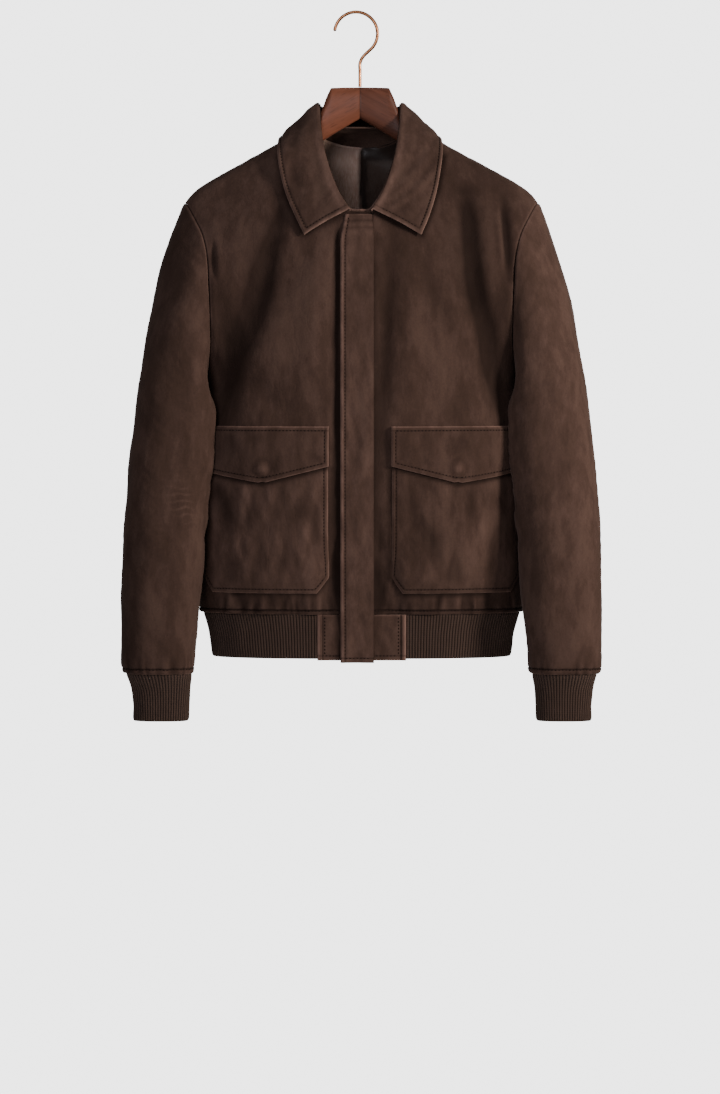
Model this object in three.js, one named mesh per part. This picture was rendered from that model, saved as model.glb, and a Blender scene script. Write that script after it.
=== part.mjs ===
// A suede blouson with rib knit hem and cuffs, closed in front, hanging on a wooden hanger.
// Millimetres, +Z up, the front faces -Y. Left and right are the wearer's, so right is at -X.
// The origin is the inside of the hook, straight above its stem.
import * as THREE from 'three';

// Cloth and seams
const SUEDE = 1.6;
const RIB_KNIT = 1.6;
const SATIN = 1.0;
const SEAM_GAP = 0.3;
const RIGHT = -1;
const LEFT = 1;

// Body: the side seam's depth, the flat strip at the centre front and how square a section is
const SIDE_Y = 5;
const FRONT_FLAT = 18.4;
const BACK_FLAT = 0;
const SQUARENESS = 0.82;
const HEM_DROP = 779;
const PANEL_COLUMNS = 9;

// Placket: its free edge and its seam, its top and its bottom, and how far it stands proud
const PLACKET = { freeX: -25.3, seamX: 18.1, top: 262.5, bottom: 842, proud: 2.2 };
const UNDERLAP_X = 12;

// Hem rib: ribs round the hem, and the ends of the suede tabs on either side of the placket
const HEM = { bottom: 837, tabBottom: 839, ribs: 132, rightTabX: -55.6, leftTabX: 60, relief: 1.0 };
const CUFF = { top: 855.3, bottom: 916.5, ribs: 40, relief: 1.0 };

// Patch pocket and flap, from the centre front outward
const POCKET = { innerX: 41, top: 543, cornerDrop: 730, bottom: 751, cut: 17, proud: 0.8 };
const FLAP = { innerX: 40, outerX: 198, top: 535, innerDrop: 586, outerDrop: 593, pointX: 125,
  pointDrop: 608, proud: 3.4, bumpDrop: 589, bumpRadius: 10, bumpHeight: 2 };
const POCKET_END = 7 / PANEL_COLUMNS;
const FLAP_ROWS = [0, 0.1, 0.3, 0.5, 0.6, 0.68, 0.74, 0.8, 0.9, 1];

// Hook of the hanger
const WIRE = { radius: 2.2, bend: 28, centreX: -5.2, tipTurn: 174, endTurn: -52, stemBottom: 94.6 };

// Upper rows of a front, from the shoulder seam (0) to the underarm (9): the neck end of each row,
// its armhole end, the turn of its arc in degrees and how far its middle swells
const FRONT_ROWS = [
  { at: 0, neckX: 67, neckY: 3, neckDrop: 145, armX: 229, armY: -4, armDrop: 246, turn: 40, swell: 0 },
  { at: 0.5, neckX: 67, neckY: -10, neckDrop: 147.5, armX: 224, armY: -18, armDrop: 250, turn: 40, swell: 1 },
  { at: 1, neckX: 65, neckY: -22, neckDrop: 166, armX: 214, armY: -32, armDrop: 267, turn: 42, swell: 3 },
  { at: 2, neckX: 58, neckY: -40, neckDrop: 201, armX: 203, armY: -48, armDrop: 290, turn: 45, swell: 6 },
  { at: 3, neckX: 47, neckY: -55, neckDrop: 230, armX: 197, armY: -59, armDrop: 318, turn: 48, swell: 8 },
  { at: 4, neckX: 32, neckY: -66, neckDrop: 250, armX: 194.6, armY: -67, armDrop: 353, turn: 50, swell: 8 },
  { at: 5, neckX: 18.4, neckY: -73, neckDrop: 261, armX: 193.4, armY: -71, armDrop: 390, turn: 54, swell: 8 },
  { at: 6, neckX: 18.4, neckY: -89, neckDrop: 325, armX: 193, armY: -67, armDrop: 428, turn: 60, swell: 6 },
  { at: 7, neckX: 18.4, neckY: -100, neckDrop: 388, armX: 196, armY: -49, armDrop: 460, turn: 70, swell: 4 },
  { at: 8, neckX: 18.4, neckY: -106, neckDrop: 446, armX: 200, armY: -23, armDrop: 482, turn: 81, swell: 2 },
  { at: 9, neckX: 18.4, neckY: -108, neckDrop: 500, armX: 204, armY: 5, armDrop: 492, turn: 90, swell: 0 },
];
const BACK_ROWS = [
  { at: 0, neckX: 67, neckY: 3, neckDrop: 145, armX: 229, armY: -4, armDrop: 246, turn: 40, swell: 0 },
  { at: 0.5, neckX: 66, neckY: 16, neckDrop: 147, armX: 225, armY: 10, armDrop: 249, turn: 40, swell: 1 },
  { at: 1, neckX: 61, neckY: 29, neckDrop: 152, armX: 217, armY: 24, armDrop: 264, turn: 42, swell: 3 },
  { at: 2, neckX: 46, neckY: 44, neckDrop: 161, armX: 208, armY: 42, armDrop: 288, turn: 46, swell: 5 },
  { at: 3, neckX: 25, neckY: 54, neckDrop: 167, armX: 202, armY: 56, armDrop: 318, turn: 50, swell: 7 },
  { at: 4, neckX: 0, neckY: 58, neckDrop: 169, armX: 199, armY: 66, armDrop: 353, turn: 54, swell: 8 },
  { at: 5, neckX: 0, neckY: 74, neckDrop: 225, armX: 198, armY: 71, armDrop: 390, turn: 58, swell: 8 },
  { at: 6, neckX: 0, neckY: 87, neckDrop: 290, armX: 198, armY: 68, armDrop: 428, turn: 64, swell: 6 },
  { at: 7, neckX: 0, neckY: 95, neckDrop: 360, armX: 200, armY: 52, armDrop: 460, turn: 72, swell: 4 },
  { at: 8, neckX: 0, neckY: 98, neckDrop: 430, armX: 202, armY: 29, armDrop: 482, turn: 82, swell: 2 },
  { at: 9, neckX: 0, neckY: 97, neckDrop: 500, armX: 204, armY: 5, armDrop: 492, turn: 90, swell: 0 },
];
// How far the shoulder bows up over the hanger's arm, fading out by the fourth row
const SHOULDER_BOW = { height: 12, endRow: 4 };
const UPPER_STEPS = [0, 0.5, 1, 2, 3, 4, 5, 6, 7, 8, 9];
const LOWER_DROPS = [535, 575, 615, 655, 690, 720, 743, 760, 771, 779];

// Sections of the body below the underarm and of the rib hem: half width and depth before and
// behind the side seam
const BODY_LEVELS = [
  { at: 492, half: 204, front: 113, back: 92 },
  { at: 535, half: 207, front: 112, back: 90 },
  { at: 600, half: 209, front: 108, back: 85 },
  { at: 670, half: 210, front: 101, back: 80 },
  { at: 720, half: 211.5, front: 93, back: 75 },
  { at: 757, half: 212, front: 84, back: 68 },
  { at: 779, half: 209, front: 78, back: 62 },
];
const HEM_LEVELS = [
  { at: 779, half: 206, front: 76, back: 60 },
  { at: 802, half: 199.5, front: 72, back: 56 },
  { at: 825, half: 196, front: 70, back: 54 },
  { at: 839, half: 194, front: 69, back: 53 },
];

// The jacket hangs a little to the wearer's left of the hook, so that half reaches further
const LEFT_WIDER = 4.2;

// Soft folds of the body: both ends (x and drop), half width and depth; a ridge has less than 0 depth
const FRONT_FOLDS = [
  { x: 34, drop: 700, endX: 52, endDrop: 790, width: 11, depth: 7 },
  { x: -33, drop: 690, endX: -46, endDrop: 785, width: 10, depth: 6 },
  { x: -150, drop: 470, endX: -90, endDrop: 530, width: 22, depth: 4 },
  { x: 150, drop: 470, endX: 95, endDrop: 525, width: 22, depth: 4 },
  { x: -110, drop: 330, endX: -172, endDrop: 420, width: 20, depth: 4 },
  { x: 112, drop: 335, endX: 174, endDrop: 425, width: 20, depth: 4 },
];
const BACK_FOLDS = [
  { x: -120, drop: 420, endX: -60, endDrop: 560, width: 26, depth: 5 },
  { x: 118, drop: 430, endX: 66, endDrop: 575, width: 26, depth: 5 },
  { x: -20, drop: 560, endX: -8, endDrop: 740, width: 24, depth: 4 },
  { x: 90, drop: 620, endX: 110, endDrop: 760, width: 20, depth: 4 },
  { x: -96, drop: 640, endX: -120, endDrop: 765, width: 20, depth: 4 },
];
const GATHERS = { count: 26, depth: 1.6, start: 722 };

// Middle of the armholes
const ARM_CENTRE = { y: 3, drop: 370 };

// Sleeve sections below the underarm: inner and outer edge from the front, depth and its middle
const SLEEVE_RIGHT = [
  { at: 520, inner: 180, outer: 293, deep: 128, middleY: -30 },
  { at: 570, inner: 183, outer: 299, deep: 126, middleY: -36 },
  { at: 632, inner: 192, outer: 304.5, deep: 122, middleY: -44 },
  { at: 700, inner: 201, outer: 308, deep: 114, middleY: -52 },
  { at: 762, inner: 207, outer: 309, deep: 103, middleY: -58 },
  { at: 820, inner: 213, outer: 309, deep: 90, middleY: -62 },
  { at: 845, inner: 214, outer: 308, deep: 82, middleY: -63 },
  { at: 855, inner: 216, outer: 305, deep: 76, middleY: -63 },
];
const SLEEVE_LEFT = [
  { at: 520, inner: 185, outer: 298, deep: 128, middleY: -30 },
  { at: 570, inner: 188, outer: 304, deep: 126, middleY: -36 },
  { at: 632, inner: 197, outer: 309.5, deep: 122, middleY: -44 },
  { at: 700, inner: 205, outer: 313, deep: 114, middleY: -52 },
  { at: 762, inner: 208.5, outer: 314, deep: 103, middleY: -58 },
  { at: 820, inner: 217, outer: 313, deep: 90, middleY: -62 },
  { at: 845, inner: 219, outer: 312, deep: 82, middleY: -63 },
  { at: 855, inner: 221, outer: 309, deep: 76, middleY: -63 },
];
// How square a section is, and how far the sleeve keeps off the body's side
const SLEEVE_SQUARENESS = 0.8;
const BODY_CLEARANCE = 10.5;
const SLEEVE_DROPS = [535, 560, 590, 612, 632, 652, 675, 705, 740, 775, 805, 828, 843, 855];
const SLEEVE_CAP_STEPS = [0, 0.12, 0.28, 0.46, 0.64, 0.82, 1];
const CUFF_LEVELS_RIGHT = [
  { at: 855, inner: 217.5, outer: 303.6, deep: 73, middleY: -63 },
  { at: 878, inner: 219.5, outer: 296, deep: 54, middleY: -63 },
  { at: 916.5, inner: 221.5, outer: 294, deep: 48, middleY: -63 },
];
const CUFF_LEVELS_LEFT = [
  { at: 855, inner: 222.5, outer: 307.6, deep: 73, middleY: -63 },
  { at: 878, inner: 226, outer: 302, deep: 54, middleY: -63 },
  { at: 916.5, inner: 228, outer: 300, deep: 48, middleY: -63 },
];
// Elbow creases: drop at the front and at the back of the sleeve, half width and depth
const ELBOW_CREASES = [
  { front: 600, back: 622, width: 12, depth: 2.4 },
  { front: 640, back: 625, width: 13, depth: 3 },
  { front: 668, back: 690, width: 12, depth: 2.2 },
];

// Neck seam and top of the collar's stand, from the centre back (0) to the centre front (8)
const STAND_ROWS = [
  { at: 0, seamX: 0, seamY: 58, seamDrop: 169, topX: 0, topY: 49, topDrop: 130 },
  { at: 1, seamX: 25, seamY: 54, seamDrop: 167, topX: 22, topY: 46, topDrop: 129 },
  { at: 2, seamX: 46, seamY: 44, seamDrop: 161, topX: 41, topY: 36, topDrop: 123 },
  { at: 3, seamX: 61, seamY: 29, seamDrop: 152, topX: 52, topY: 22, topDrop: 119 },
  { at: 4, seamX: 67, seamY: 3, seamDrop: 145, topX: 52.5, topY: 3, topDrop: 119 },
  { at: 5, seamX: 65, seamY: -22, seamDrop: 166, topX: 50.5, topY: -22, topDrop: 151 },
  { at: 6, seamX: 55, seamY: -45, seamDrop: 209.5, topX: 44, topY: -43, topDrop: 188.6 },
  { at: 7, seamX: 32, seamY: -66, seamDrop: 250, topX: 30, topY: -64, topDrop: 228 },
  { at: 7.5, seamX: 18.4, seamY: -73, seamDrop: 261, topX: 19, topY: -72, topDrop: 244 },
  { at: 7.75, seamX: 10, seamY: -73.6, seamDrop: 261, topX: 11, topY: -74.4, topDrop: 252.5 },
  { at: 8, seamX: 0.2, seamY: -74, seamDrop: 261, topX: 0.2, topY: -76, topDrop: 254 },
];

// Fold and outer edge of the collar's fall, from the centre back (0) to its front edge (8)
const FALL_ROWS = [
  { at: 0, foldX: 0, foldY: 49, foldDrop: 130, edgeX: 0, edgeY: 74, edgeDrop: 190 },
  { at: 1, foldX: 22, foldY: 46, foldDrop: 129, edgeX: 40, edgeY: 70, edgeDrop: 190 },
  { at: 2, foldX: 41, foldY: 36, foldDrop: 123, edgeX: 78, edgeY: 57, edgeDrop: 184 },
  { at: 3, foldX: 52, foldY: 22, foldDrop: 119, edgeX: 101, edgeY: 32, edgeDrop: 172.5 },
  { at: 4, foldX: 52.5, foldY: 3, foldDrop: 119, edgeX: 107, edgeY: 0, edgeDrop: 162.4 },
  { at: 5, foldX: 50.5, foldY: -22, foldDrop: 150, edgeX: 107, edgeY: -35, edgeDrop: 186 },
  { at: 6, foldX: 44, foldY: -43, foldDrop: 188, edgeX: 99, edgeY: -54, edgeDrop: 229 },
  { at: 7, foldX: 30, foldY: -64, foldDrop: 228, edgeX: 88, edgeY: -71, edgeDrop: 259 },
  { at: 8, foldX: 12, foldY: -79, foldDrop: 252, edgeX: 76, edgeY: -82, edgeDrop: 287 },
];
// Cross section of the fold: how far out and up of the stand's top its roll passes
const FALL_ROLL = [
  { out: 0, up: 1.3 }, { out: 1.1, up: 3.2 }, { out: 3.6, up: 3.9 }, { out: 6.4, up: 1.8 },
];
const FALL_THICKNESS = 2.4;
const FALL_BELLY = 1.2;
const STAND_GAP = 0.8;
const NECK_STATIONS = [0, 1, 2, 3, 3.5, 4, 4.5, 5, 6, 7, 7.5, 8];
const STAND_STATIONS = [...NECK_STATIONS.slice(0, -1), 7.75, 8];

// Hanging loop inside the back neck
const LOOP = { halfLength: 27, y: 46.9, topDrop: 156, height: 9, thickness: 2, bow: 1.2 };

// Wooden arm from the middle outward: its top and bottom edge, the half depth and its middle
const ARM_ROWS = [
  { x: 0.15, top: 95, bottom: 135.8, deep: 9, y: 0 },
  { x: 18, top: 95, bottom: 146, deep: 9, y: 0.8 },
  { x: 38, top: 95.5, bottom: 158, deep: 9.5, y: 1.7 },
  { x: 44, top: 108, bottom: 162, deep: 9.5, y: 2 },
  { x: 50, top: 125, bottom: 165.5, deep: 10, y: 2.3 },
  { x: 56, top: 142, bottom: 168.5, deep: 10, y: 2.6 },
  { x: 63, top: 148.5, bottom: 172, deep: 10.5, y: 2.9 },
  { x: 80, top: 155.5, bottom: 180, deep: 10, y: 2.4 },
  { x: 110, top: 173, bottom: 196, deep: 10.5, y: 1.1 },
  { x: 150, top: 195.5, bottom: 215, deep: 10.5, y: -0.6 },
  { x: 185, top: 215.5, bottom: 232, deep: 10.5, y: -2.1 },
  { x: 202, top: 226.5, bottom: 240, deep: 10, y: -2.8 },
  { x: 206, top: 229.5, bottom: 238, deep: 8, y: -3 },
];

const radians = (degrees) => (degrees * Math.PI) / 180;
const clamp = (value, low, high) => Math.min(Math.max(value, low), high);
const mix = (from, to, part) => from + (to - from) * part;
const steps = (from, to, count) => Array.from({ length: count + 1 }, (_, k) => mix(from, to, k / count));
const signedPower = (value, power) => Math.sign(value) * Math.abs(value) ** power;
const point = (x, y, z) => new THREE.Vector3(x, y, z);

// Reads a table between its rows with a smooth curve through each column.
function read(table, at) {
  const last = table.length - 1;
  let k = 0;
  while (k < last - 1 && at > table[k + 1].at) k += 1;
  const [from, to] = [table[k], table[k + 1]];
  const [before, after] = [table[Math.max(k - 1, 0)], table[Math.min(k + 2, last)]];
  const span = to.at - from.at;
  const u = clamp((at - from.at) / span, 0, 1);
  const row = {};
  for (const name of Object.keys(from)) {
    const leave = ((to[name] - before[name]) / (to.at - before.at)) * span;
    const arrive = ((after[name] - from[name]) / (after.at - from.at)) * span;
    row[name] = hermite(from[name], leave, to[name], arrive, u);
  }
  return row;
}

function hermite(from, leave, to, arrive, u) {
  const [square, cube] = [u * u, u * u * u];
  return (2 * cube - 3 * square + 1) * from + (cube - 2 * square + u) * leave
    + (3 * square - 2 * cube) * to + (cube - square) * arrive;
}

// A wall of cloth: outer faces from rows of points, an inner face one thickness inside and a rim.
// A point's own "inward" direction holds at a seam, so that both sides of the seam end squarely.
class Cloth {
  constructor(thickness) {
    this.thickness = thickness;
    this.points = [];
    this.faces = [];
    this.known = new Map();
  }

  vertex(place) {
    const key = [place.x, place.y, place.z].map((value) => Math.round(value * 200)).join();
    if (!this.known.has(key)) {
      this.known.set(key, this.points.length);
      this.points.push(place);
    }
    return this.known.get(key);
  }

  addRows(rows, turned = false) {
    const ids = rows.map((row) => row.map((place) => this.vertex(place)));
    for (let i = 0; i + 1 < ids.length; i += 1) {
      for (let j = 0; j + 1 < ids[i].length; j += 1) {
        const [a, b, c, d] = [ids[i][j], ids[i][j + 1], ids[i + 1][j + 1], ids[i + 1][j]];
        this.addFace(a, b, c, turned);
        this.addFace(a, c, d, turned);
      }
    }
    return this;
  }

  addFace(a, b, c, turned) {
    if (a === b || b === c || a === c) return;
    this.faces.push(turned ? [a, c, b] : [a, b, c]);
  }

  innerPoints() {
    const normals = this.points.map(() => point(0, 0, 0));
    for (const [a, b, c] of this.faces) {
      const [p, q, r] = [this.points[a], this.points[b], this.points[c]];
      const normal = q.clone().sub(p).cross(r.clone().sub(p));
      for (const id of [a, b, c]) normals[id].add(normal);
    }
    return this.points.map((place, id) => {
      const inward = place.inward ?? normals[id].normalize().negate();
      return place.clone().addScaledVector(inward, this.thickness);
    });
  }

  geometry() {
    const count = this.points.length;
    const all = [...this.points, ...this.innerPoints()];
    const triangles = [];
    const directed = new Set(this.faces.flatMap(([a, b, c]) => [`${a}_${b}`, `${b}_${c}`, `${c}_${a}`]));
    for (const [a, b, c] of this.faces) {
      triangles.push([a, b, c], [c + count, b + count, a + count]);
      for (const [from, to] of [[a, b], [b, c], [c, a]]) {
        if (directed.has(`${to}_${from}`)) continue;
        triangles.push([to, from, from + count], [to, from + count, to + count]);
      }
    }
    return solidGeometry(all, triangles);
  }
}

function solidGeometry(places, triangles) {
  const geometry = new THREE.BufferGeometry();
  const positions = places.flatMap((place) => [place.x, place.y, place.z]);
  geometry.setAttribute('position', new THREE.Float32BufferAttribute(positions, 3));
  geometry.setIndex(triangles.flat());
  geometry.computeVertexNormals();
  return geometry;
}

const jacket = new THREE.Group();
const FINISH = {
  suede: new THREE.MeshStandardMaterial({ color: 0x3b2922, roughness: 0.95, metalness: 0 }),
  rib: new THREE.MeshStandardMaterial({ color: 0x2b211d, roughness: 0.95, metalness: 0 }),
  satin: new THREE.MeshStandardMaterial({ color: 0x42382f, roughness: 0.4, metalness: 0 }),
  wood: new THREE.MeshStandardMaterial({ color: 0x6f4636, roughness: 0.35, metalness: 0 }),
  copper: new THREE.MeshStandardMaterial({ color: 0xa5714f, roughness: 0.3, metalness: 1 }),
};

function addPiece(name, geometry, finish) {
  const mesh = new THREE.Mesh(geometry, finish);
  mesh.name = name;
  jacket.add(mesh);
}

// Body

// Depth of all the folds of a list at a place: a smooth trough round each fold's line.
function foldDepth(folds, x, drop) {
  let depth = 0;
  for (const fold of folds) {
    const [runX, runDrop] = [fold.endX - fold.x, fold.endDrop - fold.drop];
    const along = ((x - fold.x) * runX + (drop - fold.drop) * runDrop) / (runX ** 2 + runDrop ** 2);
    const nearest = clamp(along, 0, 1);
    const away = Math.hypot(x - fold.x - runX * nearest, drop - fold.drop - runDrop * nearest);
    const fade = Math.sin(Math.PI * clamp(along, 0.04, 0.96)) ** 0.5;
    depth += fold.depth * fade * Math.exp(-((away / fold.width) ** 2));
  }
  return depth;
}

function gatherDepth(turn, drop) {
  const grown = clamp((drop - GATHERS.start) / (HEM_DROP - GATHERS.start), 0, 1) ** 2;
  return GATHERS.depth * grown * Math.sin(turn * GATHERS.count);
}

// Horizontal direction out of a body section at a place on it.
function outOf(x, y) {
  const squareX = signedPower(x / 208, 1.44);
  const squareY = signedPower((y - SIDE_Y) / 100, 1.44);
  return point(squareX / 208, squareY / 100, 0).normalize();
}

function wider(side) {
  return side === LEFT ? LEFT_WIDER : 0;
}

// A place on a panel's outer face: side -1 or 1, and the part of the way from the centre outward.
function upperPoint(isFront, side, at, part) {
  const row = read(isFront ? FRONT_ROWS : BACK_ROWS, at);
  const power = mix(1, SQUARENESS, at / 9);
  const turn = radians(row.turn);
  const across = (Math.sin(turn * part) / Math.sin(turn)) ** power;
  const closing = Math.cos(turn) ** power;
  const deep = (Math.cos(turn * part) ** power - closing) / (1 - closing);
  const facing = isFront ? -1 : 1;
  const x = side * mix(row.neckX, row.armX + wider(side), across);
  const y = mix(row.armY, row.neckY, deep) + facing * row.swell * Math.sin(Math.PI * part);
  const fade = Math.max(1 - at / SHOULDER_BOW.endRow, 0) ** 2;
  const bow = SHOULDER_BOW.height * fade * across * (1 - across ** 14);
  return folded(isFront, x, y, mix(row.neckDrop, row.armDrop, across) - bow, 0);
}

function lowerPoint(isFront, side, drop, part, levels = BODY_LEVELS) {
  const level = read(levels, drop);
  const turn = part * (Math.PI / 2);
  const flat = isFront ? FRONT_FLAT : BACK_FLAT;
  const x = side * mix(flat, level.half + wider(side), Math.sin(turn) ** SQUARENESS);
  const deep = Math.max(Math.cos(turn), 0) ** SQUARENESS;
  const y = isFront ? SIDE_Y - level.front * deep : SIDE_Y + level.back * deep;
  if (levels !== BODY_LEVELS) return point(x, y, -drop);
  return folded(isFront, x, y, drop, gatherDepth(side * part, drop));
}

function folded(isFront, x, y, drop, gather) {
  const depth = foldDepth(isFront ? FRONT_FOLDS : BACK_FOLDS, x, drop) + gather;
  const edge = clamp((210 - Math.abs(x)) / 30, 0, 1);
  return point(x, y, -drop).addScaledVector(outOf(x, y), -depth * edge);
}

// The part of the way outward at which a lower front section has a given x.
function partAt(side, x, drop, levels = BODY_LEVELS) {
  const half = read(levels, drop).half + wider(side);
  const across = clamp((Math.abs(x) - FRONT_FLAT) / (half - FRONT_FLAT), 0, 1);
  return Math.asin(across ** (1 / SQUARENESS)) / (Math.PI / 2);
}

function setInward(place, direction) {
  place.inward = direction.normalize();
  return place;
}

function toArmCentre(place) {
  return point(0, ARM_CENTRE.y - place.y, -ARM_CENTRE.drop - place.z);
}

// Rows of half a panel. The seam gap is taken off at the shoulder and the side. A seam's rim points
// down at the shoulder and the neck, to the middle of the hole at the armhole, and inward at the side.
function panelRows(isFront, side) {
  const parts = steps(0, 1, PANEL_COLUMNS);
  const shift = ((isFront ? -1 : 1) * SEAM_GAP) / 2;
  const neckEnd = isFront ? 5 : 4;
  const upper = UPPER_STEPS.map((at) => parts.map((part) => {
    const place = upperPoint(isFront, side, at, part);
    if (at === 0 || (at === 9 && part === 1)) place.y += shift;
    if (part === 1) return setInward(place, toArmCentre(place));
    if (at === 0 || (part === 0 && at < neckEnd)) return setInward(place, point(0, 0, -1));
    return place;
  }));
  const lower = LOWER_DROPS.map((drop) => parts.map((part) => {
    const place = lowerPoint(isFront, side, drop, part);
    if (part < 1) return place;
    place.y += shift;
    return setInward(place, point(-side, 0, 0));
  }));
  return [...upper, ...lower];
}

// The right front runs on under the placket, so it gets one more column there.
function addFronts() {
  for (const [side, name] of [[RIGHT, 'front_right'], [LEFT, 'front_left']]) {
    const rows = panelRows(true, side);
    if (side === RIGHT) {
      rows.slice(UPPER_STEPS.indexOf(5)).forEach((row) => {
        row.unshift(point(UNDERLAP_X, row[0].y + 0.4, row[0].z));
      });
      const neckRows = rows.slice(0, UPPER_STEPS.indexOf(5) + 1);
      const cloth = new Cloth(SUEDE).addRows(rows.slice(UPPER_STEPS.indexOf(5)));
      neckRows[neckRows.length - 1] = neckRows[neckRows.length - 1].slice(1);
      addPiece(name, cloth.addRows(neckRows).geometry(), FINISH.suede);
    } else {
      addPiece(name, new Cloth(SUEDE).addRows(rows, true).geometry(), FINISH.suede);
    }
  }
}

function addBack() {
  const cloth = new Cloth(SUEDE);
  cloth.addRows(panelRows(false, RIGHT), true).addRows(panelRows(false, LEFT));
  addPiece('back', cloth.geometry(), FINISH.suede);
}

// Rows of a ribbed band. Each rib is a raised line of outer points; the inner face is plain and
// has one column for each four outer ones. Paths run clockwise seen from above.
function ribbedBand(paths, ribs, relief, closed) {
  const columns = ribs * 2;
  const innerColumns = columns / 4;
  const ribHeight = (j) => (j % 2) * relief - relief;
  const outer = paths.map((path) => lineOut(spread(path, columns), closed, ribHeight));
  const inner = paths.map((path) => lineOut(spread(path, innerColumns), closed, () => -RIB_KNIT - relief));
  const across = columns + (closed ? 0 : 1);
  const innerAcross = innerColumns + (closed ? 0 : 1);
  const places = [...outer.flat(), ...inner.flat()];
  const outerId = (i, j) => i * across + (j % across);
  const innerId = (i, j) => outer.length * across + i * innerAcross + (j % innerAcross);
  const triangles = [];
  for (let i = 0; i + 1 < paths.length; i += 1) {
    for (let j = 0; j < columns; j += 1) {
      triangles.push([outerId(i, j), outerId(i, j + 1), outerId(i + 1, j + 1)]);
      triangles.push([outerId(i, j), outerId(i + 1, j + 1), outerId(i + 1, j)]);
    }
    for (let j = 0; j < innerColumns; j += 1) {
      triangles.push([innerId(i, j), innerId(i + 1, j + 1), innerId(i, j + 1)]);
      triangles.push([innerId(i, j), innerId(i + 1, j), innerId(i + 1, j + 1)]);
    }
    if (closed) continue;
    triangles.push([outerId(i, 0), outerId(i + 1, 0), innerId(i, 0)]);
    triangles.push([innerId(i, 0), outerId(i + 1, 0), innerId(i + 1, 0)]);
    triangles.push([outerId(i, columns), innerId(i, innerColumns), outerId(i + 1, columns)]);
    triangles.push([innerId(i, innerColumns), innerId(i + 1, innerColumns), outerId(i + 1, columns)]);
  }
  const bottom = paths.length - 1;
  for (let q = 0; q < innerColumns; q += 1) {
    for (let k = 0; k < 4; k += 1) {
      const near = k < 2 ? q : q + 1;
      const j = q * 4 + k;
      triangles.push([outerId(0, j + 1), outerId(0, j), innerId(0, near)]);
      triangles.push([outerId(bottom, j), outerId(bottom, j + 1), innerId(bottom, near)]);
    }
    const middle = q * 4 + 2;
    triangles.push([innerId(0, q), innerId(0, q + 1), outerId(0, middle)]);
    triangles.push([innerId(bottom, q + 1), innerId(bottom, q), outerId(bottom, middle)]);
  }
  return solidGeometry(places, triangles);
}

// Places at even distances along a path, both ends included.
function spread(path, count) {
  const lengths = [0];
  for (let k = 1; k < path.length; k += 1) {
    lengths.push(lengths[k - 1] + path[k].distanceTo(path[k - 1]));
  }
  let k = 1;
  return steps(0, lengths[lengths.length - 1], count).map((length) => {
    while (k < path.length - 1 && lengths[k] < length) k += 1;
    const part = (length - lengths[k - 1]) / (lengths[k] - lengths[k - 1]);
    return path[k - 1].clone().lerp(path[k], clamp(part, 0, 1));
  });
}

// The line moved outward, column by column. A closed line loses its doubled last place.
function lineOut(line, closed, distance) {
  const last = line.length - 1;
  const places = line.map((place, j) => {
    const before = line[closed && j === 0 ? last - 1 : Math.max(j - 1, 0)];
    const after = line[closed && j === last ? 1 : Math.min(j + 1, last)];
    const run = after.clone().sub(before).setZ(0).normalize();
    return place.clone().addScaledVector(point(-run.y, run.x, 0), distance(j));
  });
  return closed ? places.slice(0, last) : places;
}

// Sleeves

// How far out the body's side reaches at a depth; a place before or behind it meets nothing.
function bodyReach(side, y, drop) {
  if (drop > HEM_DROP) return 0;
  const level = read(BODY_LEVELS, drop);
  const deep = y < SIDE_Y ? (SIDE_Y - y) / level.front : (y - SIDE_Y) / level.back;
  if (deep >= 1) return 0;
  const sine = Math.sqrt(1 - deep ** (2 / SQUARENESS));
  return mix(y < SIDE_Y ? FRONT_FLAT : BACK_FLAT, level.half + wider(side), sine ** SQUARENESS);
}

function creaseDepth(drop, turn) {
  let depth = 0;
  for (const crease of ELBOW_CREASES) {
    const level = mix(crease.back, crease.front, (1 + Math.sin(turn)) / 2);
    const near = Math.exp(-(((drop - level) / crease.width) ** 2));
    depth += crease.depth * near * (0.55 - 0.45 * Math.cos(turn));
  }
  return depth;
}

// A place on a sleeve's section; the turn starts at its outer edge and goes by its front.
function sleevePoint(levels, side, drop, turn) {
  const level = read(levels, drop);
  const depth = creaseDepth(drop, turn);
  const half = (level.outer - level.inner) / 2 - depth;
  const x = (level.outer + level.inner) / 2 + half * signedPower(Math.cos(turn), SLEEVE_SQUARENESS);
  const y = level.middleY - (level.deep / 2 - depth) * signedPower(Math.sin(turn), SLEEVE_SQUARENESS);
  return point(side * Math.max(x, bodyReach(side, y, drop) + BODY_CLEARANCE), y, -drop);
}

// The armhole as a ring, from the shoulder down the front and up the back.
function armholeRing(side) {
  const front = UPPER_STEPS.map((at) => upperPoint(true, side, at, 1));
  const back = UPPER_STEPS.slice(1, -1).reverse().map((at) => upperPoint(false, side, at, 1));
  return [...front, ...back].map((place) => {
    place.x += side * SEAM_GAP;
    return setInward(place, toArmCentre(place));
  });
}

// The cap: each line leaves the armhole outward and arrives at the first section going down.
function capPoint(start, end, side, turn, part) {
  const top = (1 + Math.cos(turn)) / 2;
  const reach = start.distanceTo(end);
  const leave = point(side * mix(0.25, 0.42, top), -0.5 * Math.sin(turn), -mix(1, 0.92, top));
  leave.normalize().multiplyScalar(reach);
  const blend = (axis, arrive) => hermite(start[axis], leave[axis], end[axis], arrive, part);
  return point(blend('x', side * reach * mix(0.06, 0.13, top)), blend('y', -6), blend('z', -reach));
}

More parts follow.
